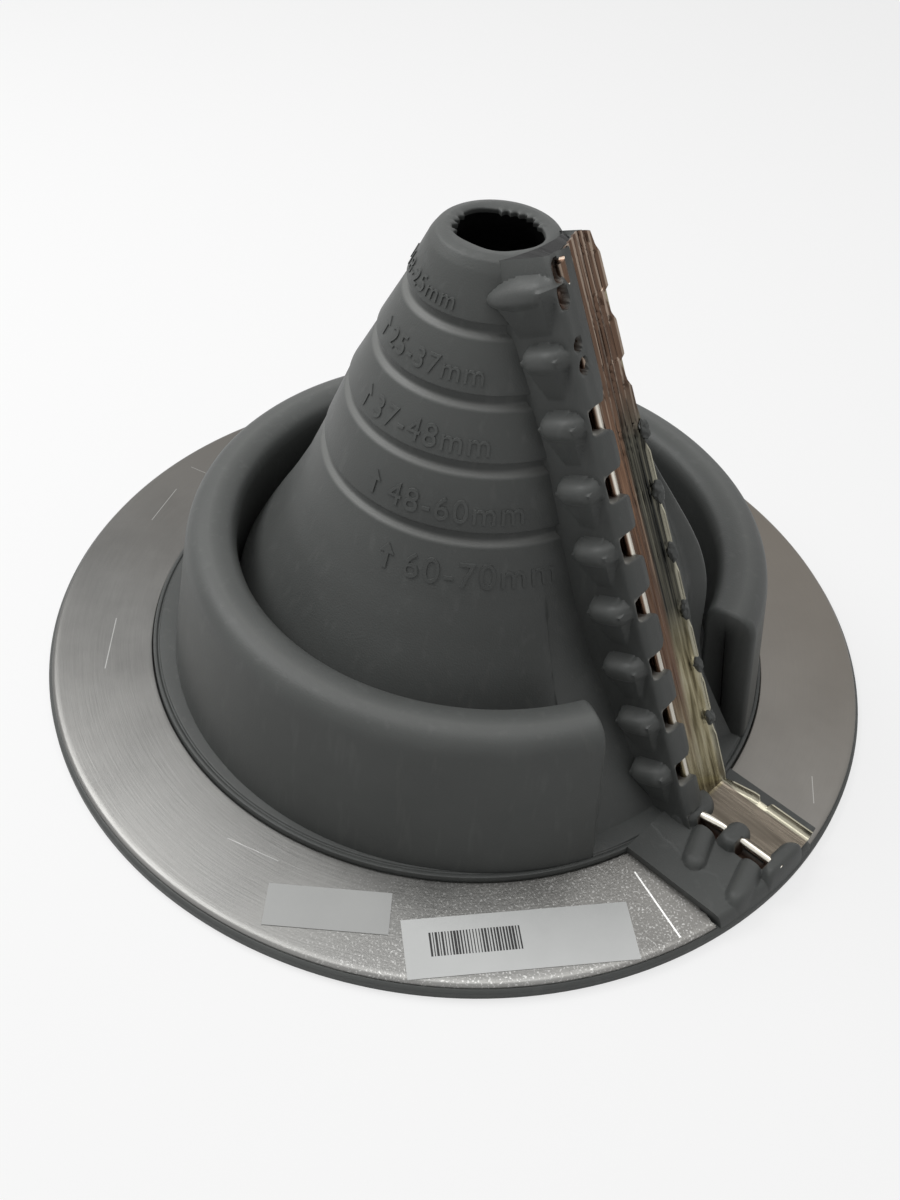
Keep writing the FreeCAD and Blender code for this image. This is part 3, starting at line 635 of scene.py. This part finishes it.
scallop = -16.9 - 2.3 * np.abs(np.sin((lip_x - 79.0) / 11.8 * math.pi)) ** 0.8
scallop = scallop - 0.4 * np.sin(lip_x * 0.9)
scallop = scallop + np.interp(lip_x, [72, 76, 79], [3.2, 1.0, 0.0])
flash_edge = -21.3 - (lip_x - 78) * 0.19 + 0.35 * np.sin(lip_x * 2.1) + 0.25 * np.sin(lip_x * 4.7 + 1)
body = np.clip((lip_y - scallop) / 1.3, 0, 1)
lip_z = LIP_SKIN + 1.75 * np.sqrt(np.clip(1 - (1 - body) ** 2, 0, 1))
lip_z = np.where(lip_y < flash_edge, FLASH_TOP, lip_z)
for a, b in FLAT_LUGS:
    lip_z = np.maximum(lip_z, 5.6 + slant(lip_x, lip_y, a, b, 2.7, 2.3))
for x0, y0, half, reach in LOBES:
    lip_z = np.maximum(lip_z, 6.0 + lobe((x0, y0), half, reach, 2.9) - 0.02)
window = sum(bump(lip_x - middle, long, 0.7) for middle, long in FLAT_WINDOWS)
window = window * bump(lip_y + 7.0, 2.4, 0.6)
lip_z = lip_z - 2.0 * window
lobes = np.zeros_like(lip_z, bool)
for x0, y0, half, reach in LOBES:
    lobes |= lobe((x0, y0), half, reach, 1.0) > 0.02
lip_z = np.where((lip_y > -5.6) & (lip_y < 6.4) & ~lobes, UNDER_WEB, lip_z)
lip_z = np.where(lip_y > 6.4, UNDER_WEB - np.clip(lip_y - 6.4, 0, 1.0) * 0.95, lip_z)
to_edge = np.clip((far_x[None, :] - lip_x) / 2.2, 0, 1)
lip_z = 1.2 + (lip_z - 1.2) * np.sqrt(np.clip(1 - (1 - to_edge) ** 2, 0, 1))
flat_outer = np.stack([lip_x, lip_y, lip_z], -1)
flat_inner = np.stack([lip_x, lip_y, np.minimum(lip_z - 0.4, 0.8)], -1)
flat_lip = skin_mesh("flange_lip", flat_outer, flat_inner, marks={
    "bare": np.clip(window, 0, 1), "torn": np.clip(4 * window * (1 - window), 0, 1)})
ours(flat_lip, lip_rubber)

# ---------------------------------------------------------------- the metal seam strip
# A roll-formed strip of thin stainless steel laid over the split: a rolled bead on the lug side,
# a fluted web and a turned-up hem. It is bent once, where the cone meets the flange.
HEM_Y, BEAD_Y, BEAD_R, SHEET_THICK = 5.5, -6.55, 1.05, 0.5
FIRST_NOTCH, NOTCH_PITCH, NOTCHES, FLANGE_NOTCH = 17.9, 13.85, 9, 10.8
STRIP_END, BEND_EASE = 23.1, 2.6  # out over the flange from the bend, and where the bend starts
MITRE = np.array([0.609, 0, 1.0])  # the way a point off the face goes at the bend
arc_top = np.radians(np.linspace(-35, 212, 15))
arc_under = np.radians(np.linspace(-70, -140, 15))
web_y = np.linspace(HEM_Y - 0.8, BEAD_Y + BEAD_R + 0.15, 30)


def strip_rows(along, hem, edge, flute, shift=0.0):
    """Outside and underside of the strip's section at one place, off its face and across."""
    edge = HEM_Y + edge
    web = np.interp(np.linspace(0, 1, 30), [0, 1], [edge - 0.8, web_y[-1]])
    ripple = flute * (0.16 * np.sin(web * 4.1 + 0.6) + 0.1 * np.sin(web * 7.3 + along * 0.02))
    sag = -0.25 * np.exp(-((web - 1.2) / 2.6) ** 2)
    top = [(hem, edge + 0.15), (0.62 + 0.3 * (hem - 0.6), edge - 0.12), (0.55, edge - 0.5)]
    top += list(zip(SHEET_THICK + ripple + sag, web))
    top += [(1.1 + BEAD_R * math.sin(a), BEAD_Y + BEAD_R * math.cos(a)) for a in arc_top]
    below = [(hem + 0.02, edge + 0.5), (0.1, edge + 0.4), (0.0, edge - 0.2)]
    below += list(zip(ripple + sag, web))
    below += [(1.1 + BEAD_R * math.sin(a), BEAD_Y + BEAD_R * math.cos(a)) for a in arc_under]
    shift = np.array([0, shift])
    return np.array(top) + shift, np.array(below) + shift


def laid(section, place, rise):
    """A section of the strip laid square to the split on the flange or at the bend."""
    return place + section[:, :1] * rise + section[:, 1:] * ACROSS


strip_outer, strip_inner, along_rows, across_rows = [], [], [], []
for x in np.linspace(STRIP_END, BEND_EASE, 60):
    notch = bump(x - FLANGE_NOTCH, 2.6, 0.8)
    top, below = strip_rows(-x, 1.9 - 1.2 * notch, -0.4 * notch, 0.0, np.interp(x, [2, 8], [0.0, 1.2]))
    here, upright = FOOT + np.array([1.0, 0, 0]) * x, np.array([0, 0, 1.0])
    strip_outer.append(laid(top, here, upright))
    strip_inner.append(laid(below, here, upright))
    along_rows.append(np.full(len(top), -x))
    across_rows.append(top[:, 1])
top, below = strip_rows(0, 1.3, 0, 0.0)
strip_outer.append(laid(top, FOOT, MITRE))
strip_inner.append(laid(below, FOOT, MITRE))
along_rows.append(np.zeros(len(top)))
across_rows.append(top[:, 1])
for s in np.linspace(BEND_EASE, LENGTH, 300):
    notch = max(0.0, *(float(np.interp(s - (FIRST_NOTCH + NOTCH_PITCH * k), [-4.6, -3.0, 1.2, 2.2],
                                       [0, 0.55, 1, 0])) for k in range(NOTCHES)))
    open_top = float(np.clip((s - 82) / 10, 0, 1))
    hem = 0.6 + (0.95 - 0.35 * notch) * (1 - open_top)
    edge = -notch * (0.35 + 1.25 * open_top) - 0.9 * np.clip((s - 90) / 35, 0, 1)
    top, below = strip_rows(s, hem, edge, float(np.clip((s - 40) / 50, 0.15, 1)))
    # The upper end was cut with snips, so it isn't square.
    end = np.interp(top[:, 1], [-7.6, -4.5, -2.2, 0.6, 2.4, 5.5], [-3.2, -1.6, -0.6, 0.55, 0.1, -1.5])
    up = s + end * np.clip((s - LENGTH + 14) / 14, 0, 1) ** 2
    dip = -0.45 * math.exp(-((s - 85) / 22) ** 2)
    strip_outer.append(on_strip(up, top[:, 0] + dip, top[:, 1]))
    strip_inner.append(on_strip(up, below[:, 0] + dip, below[:, 1]))
    along_rows.append(np.full(len(top), s))
    across_rows.append(top[:, 1])
strip = skin_mesh("seam_strip", np.array(strip_outer), np.array(strip_inner), marks={
    "along": np.array(along_rows), "across": np.array(across_rows)})


def past(tree, value, start, over):
    """From nothing to one as a value goes past a start."""
    return counted(tree, "DIVIDE", counted(tree, "SUBTRACT", value, start), over, clamp=True)


def short_of(tree, value, end, over):
    """From one to nothing as a value comes up to an end."""
    return counted(tree, "DIVIDE", counted(tree, "SUBTRACT", end, value), over, clamp=True)


# Brown and fluted on the lug side and at the top, olive below and dark above on the hem side, the dark a
# painted reflection, with painted highlights along the bead, at one glint on it, and along the edge of
# the hem.
strip_metal, tree, shader = finish_tree("seam_steel")
shader.inputs["Metallic"].default_value = 1.0
along = add(tree, "ShaderNodeAttribute", attribute_name="along").outputs["Fac"]
across = add(tree, "ShaderNodeAttribute", attribute_name="across").outputs["Fac"]
ribbon = add(tree, "ShaderNodeCombineXYZ", {
    "X": counted(tree, "MULTIPLY", along, 0.012), "Y": across, "Z": 0.0}).outputs[0]
lines = add(tree, "ShaderNodeTexNoise", {"Vector": ribbon, "Scale": 1.9, "Detail": 3.0,
                                         "Roughness": 0.65}).outputs["Fac"]
blots = add(tree, "ShaderNodeTexNoise", {
    "Vector": add(tree, "ShaderNodeCombineXYZ", {"X": counted(tree, "MULTIPLY", along, 0.09),
                                                 "Y": across, "Z": 3.0}).outputs[0],
    "Scale": 0.8, "Detail": 4.0}).outputs["Fac"]
brown = ramped(tree, lines, (0.36, (0.06, 0.032, 0.022)), (0.47, (0.19, 0.115, 0.075)),
               (0.56, (0.09, 0.052, 0.036)), (0.68, (0.31, 0.22, 0.16)))
gold = ramped(tree, blots, (0.36, (0.12, 0.10, 0.055)), (0.5, (0.30, 0.265, 0.165)),
              (0.68, (0.44, 0.41, 0.30)))
dark_reflection = ramped(tree, lines, (0.4, (0.02, 0.021, 0.02)), (0.62, (0.12, 0.115, 0.09)))
drifted = counted(tree, "ADD", counted(tree, "MULTIPLY", across, 4.1),
                  counted(tree, "SINE", counted(tree, "MULTIPLY", along, 0.11)))
fluted = ramped(tree, counted(tree, "SINE", drifted),
                (0.25, (0.09, 0.06, 0.045)), (0.75, (0.33, 0.275, 0.225)))
dull = ramped(tree, blots, (0.35, (0.115, 0.098, 0.078)), (0.7, (0.2, 0.172, 0.138)))
BEAD_HIGHLIGHT, HEM_HIGHLIGHT, GLINT_AT = (0.66, 0.63, 0.56), (0.44, 0.42, 0.33), 121.2
# Above the olive, the hem side is painted dark: a painted dark reflection.
tone = mixed(tree, past(tree, along, 34.0, 14.0), gold, dark_reflection)
lug_zone = counted(tree, "MULTIPLY", short_of(tree, across, 0.8, 1.4), past(tree, along, 8.0, 24.0))
tone = mixed(tree, lug_zone, tone, brown)
tone = mixed(tree, past(tree, along, 86.0, 12.0), tone, mixed(tree, 0.65, brown, fluted))
tone = mixed(tree, short_of(tree, along, 1.0, 2.0), tone, dull)
# Painted highlight along the bead, dimmed near the top except at one painted glint.
bead_highlight_zone = counted(tree, "MULTIPLY", short_of(tree, across, -5.35, 0.3),
                    past(tree, across, -7.25, 0.3))
from_glint = counted(tree, "ABSOLUTE", counted(tree, "SUBTRACT", along, GLINT_AT))
no_glint = counted(tree, "SUBTRACT", 1.0, counted(tree, "LESS_THAN", from_glint, 1.1))
dulled = counted(tree, "MULTIPLY", past(tree, along, 100.0, 4.0), no_glint)
bead_highlight_zone = counted(tree, "MULTIPLY", bead_highlight_zone, counted(tree, "SUBTRACT", 1.0, dulled))
tone = mixed(tree, bead_highlight_zone, tone, BEAD_HIGHLIGHT)
# Painted highlight along the edge of the hem.
hem_highlight_zone = counted(tree, "MULTIPLY", past(tree, across, 5.25, 0.2), short_of(tree, along, 92.0, 12.0))
tone = mixed(tree, counted(tree, "MULTIPLY", hem_highlight_zone, 0.8), tone, HEM_HIGHLIGHT)
tree.links.new(tone, shader.inputs["Base Color"])
tree.links.new(ramped(tree, blots, (0.3, 0.16), (0.7, 0.34)), shader.inputs["Roughness"])
relief = add(tree, "ShaderNodeBump", {"Height": lines, "Strength": 0.25, "Distance": 0.0003})
tree.links.new(relief.outputs["Normal"], shader.inputs["Normal"])
ours(strip, strip_metal)
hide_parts("seam_channel")
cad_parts["seam_insert"].material_slots[0].material = strip_metal

# Rubber squeezed through the hem's notches when the strip was closed stands out as small drops.


def form_tree(name, inputs):
    """An empty geometry node tree with its named inputs, and its two end nodes."""
    tree = bpy.data.node_groups.new(name, "GeometryNodeTree")
    tree.is_modifier = True
    tree.interface.new_socket("Geometry", in_out="INPUT", socket_type="NodeSocketGeometry")
    for label, kind, value in inputs:
        socket = tree.interface.new_socket(label, in_out="INPUT", socket_type="NodeSocket" + kind)
        if value is not None:
            socket.default_value = value
    tree.interface.new_socket("Geometry", in_out="OUTPUT", socket_type="NodeSocketGeometry")
    return tree, tree.nodes.new("NodeGroupInput"), tree.nodes.new("NodeGroupOutput")


drops, given, result = form_tree("hem_drops", [
    ("Count", "Int", 6), ("First", "Vector", (0, 0, 0)), ("Step", "Vector", (0, 0, 0)),
    ("Lean", "Vector", (0, 0, 0)), ("Radius", "Float", 0.001), ("Material", "Material", None)])
line = add(drops, "GeometryNodeMeshLine", {"Count": given.outputs["Count"],
                                           "Start Location": given.outputs["First"],
                                           "Offset": given.outputs["Step"]})
ball = add(drops, "GeometryNodeMeshIcoSphere", {"Radius": given.outputs["Radius"], "Subdivisions": 4})
shaped = add(drops, "GeometryNodeTransform", {"Geometry": ball.outputs[0], "Scale": (0.75, 0.95, 2.0)})
placed = add(drops, "GeometryNodeInstanceOnPoints", {
    "Points": line.outputs[0], "Instance": shaped.outputs[0], "Rotation": given.outputs["Lean"],
    "Scale": add(drops, "FunctionNodeRandomValue", {"Min": (0.85, 0.8, 0.85), "Max": (1.1, 1.15, 1.1),
                                                    "Seed": 5}, data_type="FLOAT_VECTOR").outputs[0]})
real = add(drops, "GeometryNodeRealizeInstances", {"Geometry": placed.outputs[0]})
lumps = add(drops, "ShaderNodeTexNoise", {"Scale": 900.0, "Detail": 1.0})
moved = add(drops, "GeometryNodeSetPosition", {
    "Geometry": real.outputs[0],
    "Offset": add(drops, "ShaderNodeVectorMath", {
        0: add(drops, "ShaderNodeVectorMath", {0: lumps.outputs["Color"], 1: (0.5, 0.5, 0.5)},
               operation="SUBTRACT").outputs[0], "Scale": 0.0011}, operation="SCALE").outputs[0]})
smooth = add(drops, "GeometryNodeSetShadeSmooth", {"Geometry": moved.outputs[0]})
coated = add(drops, "GeometryNodeSetMaterial", {"Geometry": smooth.outputs[0],
                                                "Material": given.outputs["Material"]})
drops.links.new(coated.outputs[0], result.inputs[0])


def grown(name, tree, values):
    """A plain mesh made by a geometry node tree from the values of its named inputs."""
    holder = bpy.data.objects.new(name + "_maker", bpy.data.meshes.new(name + "_maker"))
    bpy.context.collection.objects.link(holder)
    maker = holder.modifiers.new("maker", "NODES")
    maker.node_group = tree
    for socket in tree.interface.items_tree:
        if socket.item_type == "SOCKET" and socket.in_out == "INPUT" and socket.name in values:
            maker[socket.identifier] = values[socket.name]
    bpy.context.view_layer.update()
    mesh = bpy.data.meshes.new_from_object(holder.evaluated_get(bpy.context.evaluated_depsgraph_get()))
    bpy.data.objects.remove(holder)
    mesh.name = name
    piece = bpy.data.objects.new(name, mesh)
    bpy.context.collection.objects.link(piece)
    return piece


lean = -math.atan2(FOOT[0] - TOP[0], TOP[2] - FOOT[2])
hem_drops = grown("hem_drops", drops, {
    "Count": 6, "First": tuple(on_strip(FIRST_NOTCH, 1.0, HEM_Y + 0.2) * MM),
    "Step": tuple(UP * NOTCH_PITCH * MM),
    "Lean": (0.0, lean, 0.0), "Radius": 0.00125, "Material": rubber})
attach(hem_drops, "root")

# ---------------------------------------------------------------- the metal ring
# A ring of dead-soft aluminium sheet held in the flange, so the flange can be shaped to the
# roof. It is cut away beside the split, with a ragged end on the lug side.
RING_IN, RING_OUT, RING_TOP, RING_UNDER = 76.7, 100.62, 4.19, 3.03
FAR_CUT, NEAR_CUT, NEAR_SLANT = 7.4, 21.4, 0.17  # the cut ends' places across the split
ring_line = eased([
    (RING_IN, RING_UNDER + 0.03), (RING_IN, 3.95), (77.0, RING_TOP), (99.4, RING_TOP), (100.1, 4.05),
    (RING_OUT, 3.6), (RING_OUT, RING_UNDER + 0.03)], 0.3)
ring_line = np.concatenate([ring_line[:8], spaced(ring_line[8:-9], 40), ring_line[-9:]])
ring_r, ring_h = ring_line[:, 0], ring_line[:, 1]
far_turn = np.arcsin(FAR_CUT / ring_r)
chance = np.random.default_rng(3)
nibbled = chance.normal(0, 0.22, len(ring_r))
near_turn = 2 * np.pi - np.arcsin((NEAR_CUT + (ring_r * 0.97 - 76) * NEAR_SLANT + nibbled) / ring_r)
share = np.linspace(0, 1, 300)[:, None]
ring_turns = far_turn + share * (near_turn - far_turn)
ring_top = round_the_axis(ring_r, ring_h, ring_turns)
ring_low = ring_top.copy()
ring_low[..., 2] = RING_UNDER
ring = skin_mesh("ring", ring_top, ring_low)

# Rolled aluminium with a wound grain: painted shade on the left, a painted highlight at the front,
# whiter and scoured beside the labels, a painted brown reflection on the far side, with a few scratches.
ring_metal, tree, shader = finish_tree("ring_aluminium")
shader.inputs["Metallic"].default_value = 1.0
place = add(tree, "ShaderNodeTexCoord").outputs["Object"]
axes = add(tree, "ShaderNodeSeparateXYZ", {0: place})
radius = add(tree, "ShaderNodeVectorMath", {0: add(tree, "ShaderNodeVectorMath", {
    0: place, 1: (1, 1, 0)}, operation="MULTIPLY").outputs[0]}, operation="LENGTH").outputs["Value"]
turn = counted(tree, "ARCTAN2", axes.outputs[1], axes.outputs[0])
wound = add(tree, "ShaderNodeCombineXYZ", {
    "X": counted(tree, "MULTIPLY", radius, 1000.0), "Y": counted(tree, "MULTIPLY", turn, 3.0),
    "Z": 0.0}).outputs[0]
rings = add(tree, "ShaderNodeTexNoise", {"Vector": wound, "Scale": 1.6, "Detail": 5.0,
                                         "Roughness": 0.7}).outputs["Fac"]
face = add(tree, "ShaderNodeGroup", {"Vector": place, "Patch": 34.0, "Grit": 1500.0}, node_tree=wear)
# Painted brown reflection, growing toward the far side.
far_reflection = counted(tree, "MULTIPLY_ADD", axes.outputs[1], 6.0, 0.35, clamp=True)
tone = ramped(tree, face.outputs["Patch"], (0.3, (0.21, 0.208, 0.2)), (0.7, (0.29, 0.287, 0.275)))
# Painted shade, darker toward the left.
shade = counted(tree, "MULTIPLY", short_of(tree, axes.outputs[0], 0.03, 0.11), 0.75)
tone = mixed(tree, shade, tone, (0.105, 0.104, 0.1))
# Painted highlight at the front.
front_highlight = counted(tree, "MULTIPLY", short_of(tree, axes.outputs[1], -0.045, 0.03),
                 past(tree, axes.outputs[0], -0.035, 0.05))
tone = mixed(tree, counted(tree, "MULTIPLY", front_highlight, 0.7), tone, (0.24, 0.239, 0.231))
tone = mixed(tree, far_reflection, tone, (0.165, 0.143, 0.118))
tone = mixed(tree, counted(tree, "MULTIPLY", rings, 0.35), tone, (0.15, 0.148, 0.142))
scoured = add(tree, "ShaderNodeTexNoise", {"Vector": place, "Scale": 2100.0, "Detail": 3.0})
specks = ramped(tree, scoured.outputs["Fac"], (0.56, 0.0), (0.68, 1.0))
near_cut = counted(tree, "MULTIPLY", past(tree, axes.outputs[0], 0.030, 0.03),
                   short_of(tree, axes.outputs[1], -0.015, 0.012))
specks = counted(tree, "MULTIPLY", counted(tree, "MULTIPLY", specks, near_cut), 0.5)
tone = mixed(tree, specks, tone, (0.75, 0.75, 0.73))


def scratch(start, end, width):
    """One inside a thin straight mark between two points on the sheet, in mm."""
    a, b = Vector((*start, 0)) * MM, Vector((*end, 0)) * MM
    d = (b - a).normalized()
    away = add(tree, "ShaderNodeVectorMath", {0: place, 1: tuple(a)}, operation="SUBTRACT").outputs[0]
    run, side = (add(tree, "ShaderNodeVectorMath", {0: away, 1: way},
                     operation="DOT_PRODUCT").outputs["Value"] for way in (tuple(d), (-d.y, d.x, 0)))
    thin = counted(tree, "LESS_THAN", counted(tree, "ABSOLUTE", side), width * MM)
    within = counted(tree, "MULTIPLY", counted(tree, "GREATER_THAN", run, 0.0),
                     counted(tree, "LESS_THAN", run, (b - a).length))
    return counted(tree, "MULTIPLY", thin, within)


FAINT_SCRATCHES = [
    ((90.5, 24.0), (95.0, 17.5), 0.1), ((-90.0, -20.0), (-84.0, -33.0), 0.1),
    ((-60.0, -62.0), (-48.0, -74.0), 0.12), ((10.0, -84.0), (22.0, -80.0), 0.1),
    ((-84.0, -8.0), (-95.0, -11.0), 0.08)]
marks = scratch((77.2, -27.0), (93.6, -32.8), 0.2)
for start, end, width in FAINT_SCRATCHES:
    marks = counted(tree, "MAXIMUM", marks, counted(tree, "MULTIPLY", scratch(start, end, width), 0.22))
tone = mixed(tree, marks, tone, (0.93, 0.93, 0.91))
tree.links.new(tone, shader.inputs["Base Color"])
slow = ramped(tree, face.outputs["Patch"], (0.3, 0.24), (0.75, 0.36))
tree.links.new(counted(tree, "MULTIPLY_ADD", rings, 0.16, slow), shader.inputs["Roughness"])
height = counted(tree, "ADD", counted(tree, "MULTIPLY", rings, 0.7), counted(
    tree, "MULTIPLY", face.outputs["Grit"], counted(tree, "MULTIPLY", near_cut, 0.9)))
relief = add(tree, "ShaderNodeBump", {"Height": height, "Strength": 0.22, "Distance": 0.0002})
tree.links.new(relief.outputs["Normal"], shader.inputs["Normal"])
ours(ring, ring_metal)
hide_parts("base_ring")

# ---------------------------------------------------------------- the paper labels
# Two self-adhesive labels on the ring: a glossy white one with plain bars and a duller, silvery
# one left blank. Neither carries a number or a name.


def paper_finish(name, color, rough):
    """Coated paper with a faint mottle."""
    material, tree, shader = finish_tree(name)
    place = add(tree, "ShaderNodeTexCoord").outputs["Object"]
    face = add(tree, "ShaderNodeGroup", {"Vector": place, "Patch": 90.0}, node_tree=wear)
    tree.links.new(ramped(tree, face.outputs["Patch"], (0.3, tuple(v * 0.94 for v in color)),
                          (0.7, color)), shader.inputs["Base Color"])
    tree.links.new(ramped(tree, face.outputs["Patch"], (0.3, rough), (0.7, rough + 0.12)),
                   shader.inputs["Roughness"])
    relief = add(tree, "ShaderNodeBump", {"Height": face.outputs["Patch"], "Strength": 0.12,
                                          "Distance": 0.0003})
    tree.links.new(relief.outputs["Normal"], shader.inputs["Normal"])
    return material


white_paper = paper_finish("white_label", (0.66, 0.67, 0.66), 0.32)
silver_paper = paper_finish("silver_label", (0.455, 0.46, 0.45), 0.45)
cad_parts["large_label"].material_slots[0].material = white_paper
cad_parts["small_label"].material_slots[0].material = silver_paper
ink = paper_finish("label_ink", (0.012, 0.012, 0.012), 0.4)

# Plain bars of uneven width in one row.
bars, given, result = form_tree("label_bars", [
    ("Count", "Int", 30), ("Pitch", "Float", 0.0006), ("Height", "Float", 0.005),
    ("Thin", "Float", 0.3), ("Thick", "Float", 1.0), ("Seed", "Int", 4), ("Material", "Material", None)])
step = add(bars, "ShaderNodeCombineXYZ", {"X": given.outputs["Pitch"]})
line = add(bars, "GeometryNodeMeshLine", {"Count": given.outputs["Count"], "Offset": step.outputs[0]})
bar = add(bars, "GeometryNodeMeshCube", {"Size": add(bars, "ShaderNodeCombineXYZ", {
    "X": given.outputs["Pitch"], "Y": given.outputs["Height"], "Z": 0.00003}).outputs[0]})
width = add(bars, "FunctionNodeRandomValue", {
    "Min": given.outputs["Thin"], "Max": given.outputs["Thick"], "Seed": given.outputs["Seed"]},
    data_type="FLOAT")
number = [socket for socket in width.outputs if socket.enabled][0]
scale = add(bars, "ShaderNodeCombineXYZ", {"X": number, "Y": 1.0, "Z": 1.0})
placed = add(bars, "GeometryNodeInstanceOnPoints", {
    "Points": line.outputs[0], "Instance": bar.outputs[0], "Scale": scale.outputs[0]})
real = add(bars, "GeometryNodeRealizeInstances", {"Geometry": placed.outputs[0]})
coated = add(bars, "GeometryNodeSetMaterial", {"Geometry": real.outputs[0],
                                               "Material": given.outputs["Material"]})
bars.links.new(coated.outputs[0], result.inputs[0])
label_bars = grown("label_bars", bars, {"Count": 30, "Pitch": 0.00064, "Height": 0.0054, "Thin": 0.25,
                                        "Thick": 0.85, "Seed": 4, "Material": ink})
LABEL_TURN, LABEL_FACE = math.radians(-39.0), 0.004362
bars_out = (88.725 + 2.1) * MM  # the label's middle, and the bars' place above it
label_bars.data.transform(
    Matrix.Translation((math.cos(LABEL_TURN) * bars_out, math.sin(LABEL_TURN) * bars_out, LABEL_FACE))
    @ Matrix.Rotation(LABEL_TURN + math.pi / 2, 4, "Z") @ Matrix.Translation((-0.0184, 0.0006, 0)))
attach(label_bars, "root")

# ---------------------------------------------------------------- floor, light and camera
# A plain pale floor that keeps the boot's shadow, in a soft, even studio light: one wide lamp
# from the left, one overhead, and a white surround.
def in_plain_view(tree, *ways):
    """One where a surface is seen directly, or in the other ways of seeing it that are named."""
    seen = add(tree, "ShaderNodeLightPath")
    shown = seen.outputs["Is Camera Ray"]
    for way in ways:
        shown = counted(tree, "MAXIMUM", shown, seen.outputs[way])
    return shown


bpy.ops.mesh.primitive_plane_add(size=6, location=(0, 0, 0))
floor = bpy.context.object
floor.name = "floor"
floor_paint, tree, shader = finish_tree("floor_paint")
shader.inputs["Base Color"].default_value = (0.9, 0.9, 0.9, 1)
shader.inputs["Roughness"].default_value = 0.9
glow = add(tree, "ShaderNodeEmission", {"Color": (1, 1, 1, 1), "Strength": 1.0})
shown = in_plain_view(tree, "Is Transmission Ray")
blend = add(tree, "ShaderNodeMixShader", {0: counted(tree, "MULTIPLY", shown, 0.72)})
tree.links.new(shader.outputs[0], blend.inputs[1])
tree.links.new(glow.outputs[0], blend.inputs[2])
tree.links.new(blend.outputs[0], tree.nodes["Material Output"].inputs["Surface"])
floor.data.materials.append(floor_paint)

SURROUND = 0.21  # the light it gives; it shows as white
world = bpy.data.worlds.new("studio")
bpy.context.scene.world = world
world.use_nodes = True
tree = world.node_tree
sky = tree.nodes["Background"]
sky.inputs["Color"].default_value = (1, 1, 1, 1)
shown = in_plain_view(tree, "Is Glossy Ray", "Is Transmission Ray")
tree.links.new(counted(tree, "MULTIPLY_ADD", shown, 1 - SURROUND, SURROUND), sky.inputs["Strength"])

LAMPS = [("key", (-0.38, -0.16, 0.55), 0.4, 2.6), ("overhead", (0.10, 0.02, 0.75), 0.5, 1.6)]
for name, place, width, power in LAMPS:
    lamp = bpy.data.lights.new(name, "AREA")
    lamp.size = width
    lamp.energy = power
    holder = bpy.data.objects.new(name, lamp)
    holder.location = place
    holder.rotation_euler = (Vector((0, 0, 0.04)) - Vector(place)).to_track_quat("-Z", "Y").to_euler()
    bpy.context.collection.objects.link(holder)

camera = bpy.data.objects.new("camera", bpy.data.cameras.new("camera"))
bpy.context.collection.objects.link(camera)
camera.data.lens = 37.5
camera.data.sensor_width = 36
eye = Vector((0.14085, -0.17393, 0.23274))
aim = Vector((-0.00229, -0.00185, 0.01198))
ahead = (aim - eye).normalized()
right = ahead.cross(Vector((0, 0, 1))).normalized()
above = right.cross(ahead)
roll = math.radians(5.21)
right_rolled = right * math.cos(roll) + above * math.sin(roll)
above_rolled = above * math.cos(roll) - right * math.sin(roll)
camera.matrix_world = Matrix((
    (right_rolled.x, above_rolled.x, -ahead.x, eye.x),
    (right_rolled.y, above_rolled.y, -ahead.y, eye.y),
    (right_rolled.z, above_rolled.z, -ahead.z, eye.z),
    (0, 0, 0, 1)))
bpy.context.scene.camera = camera
bpy.context.scene.view_settings.view_transform = "Standard"
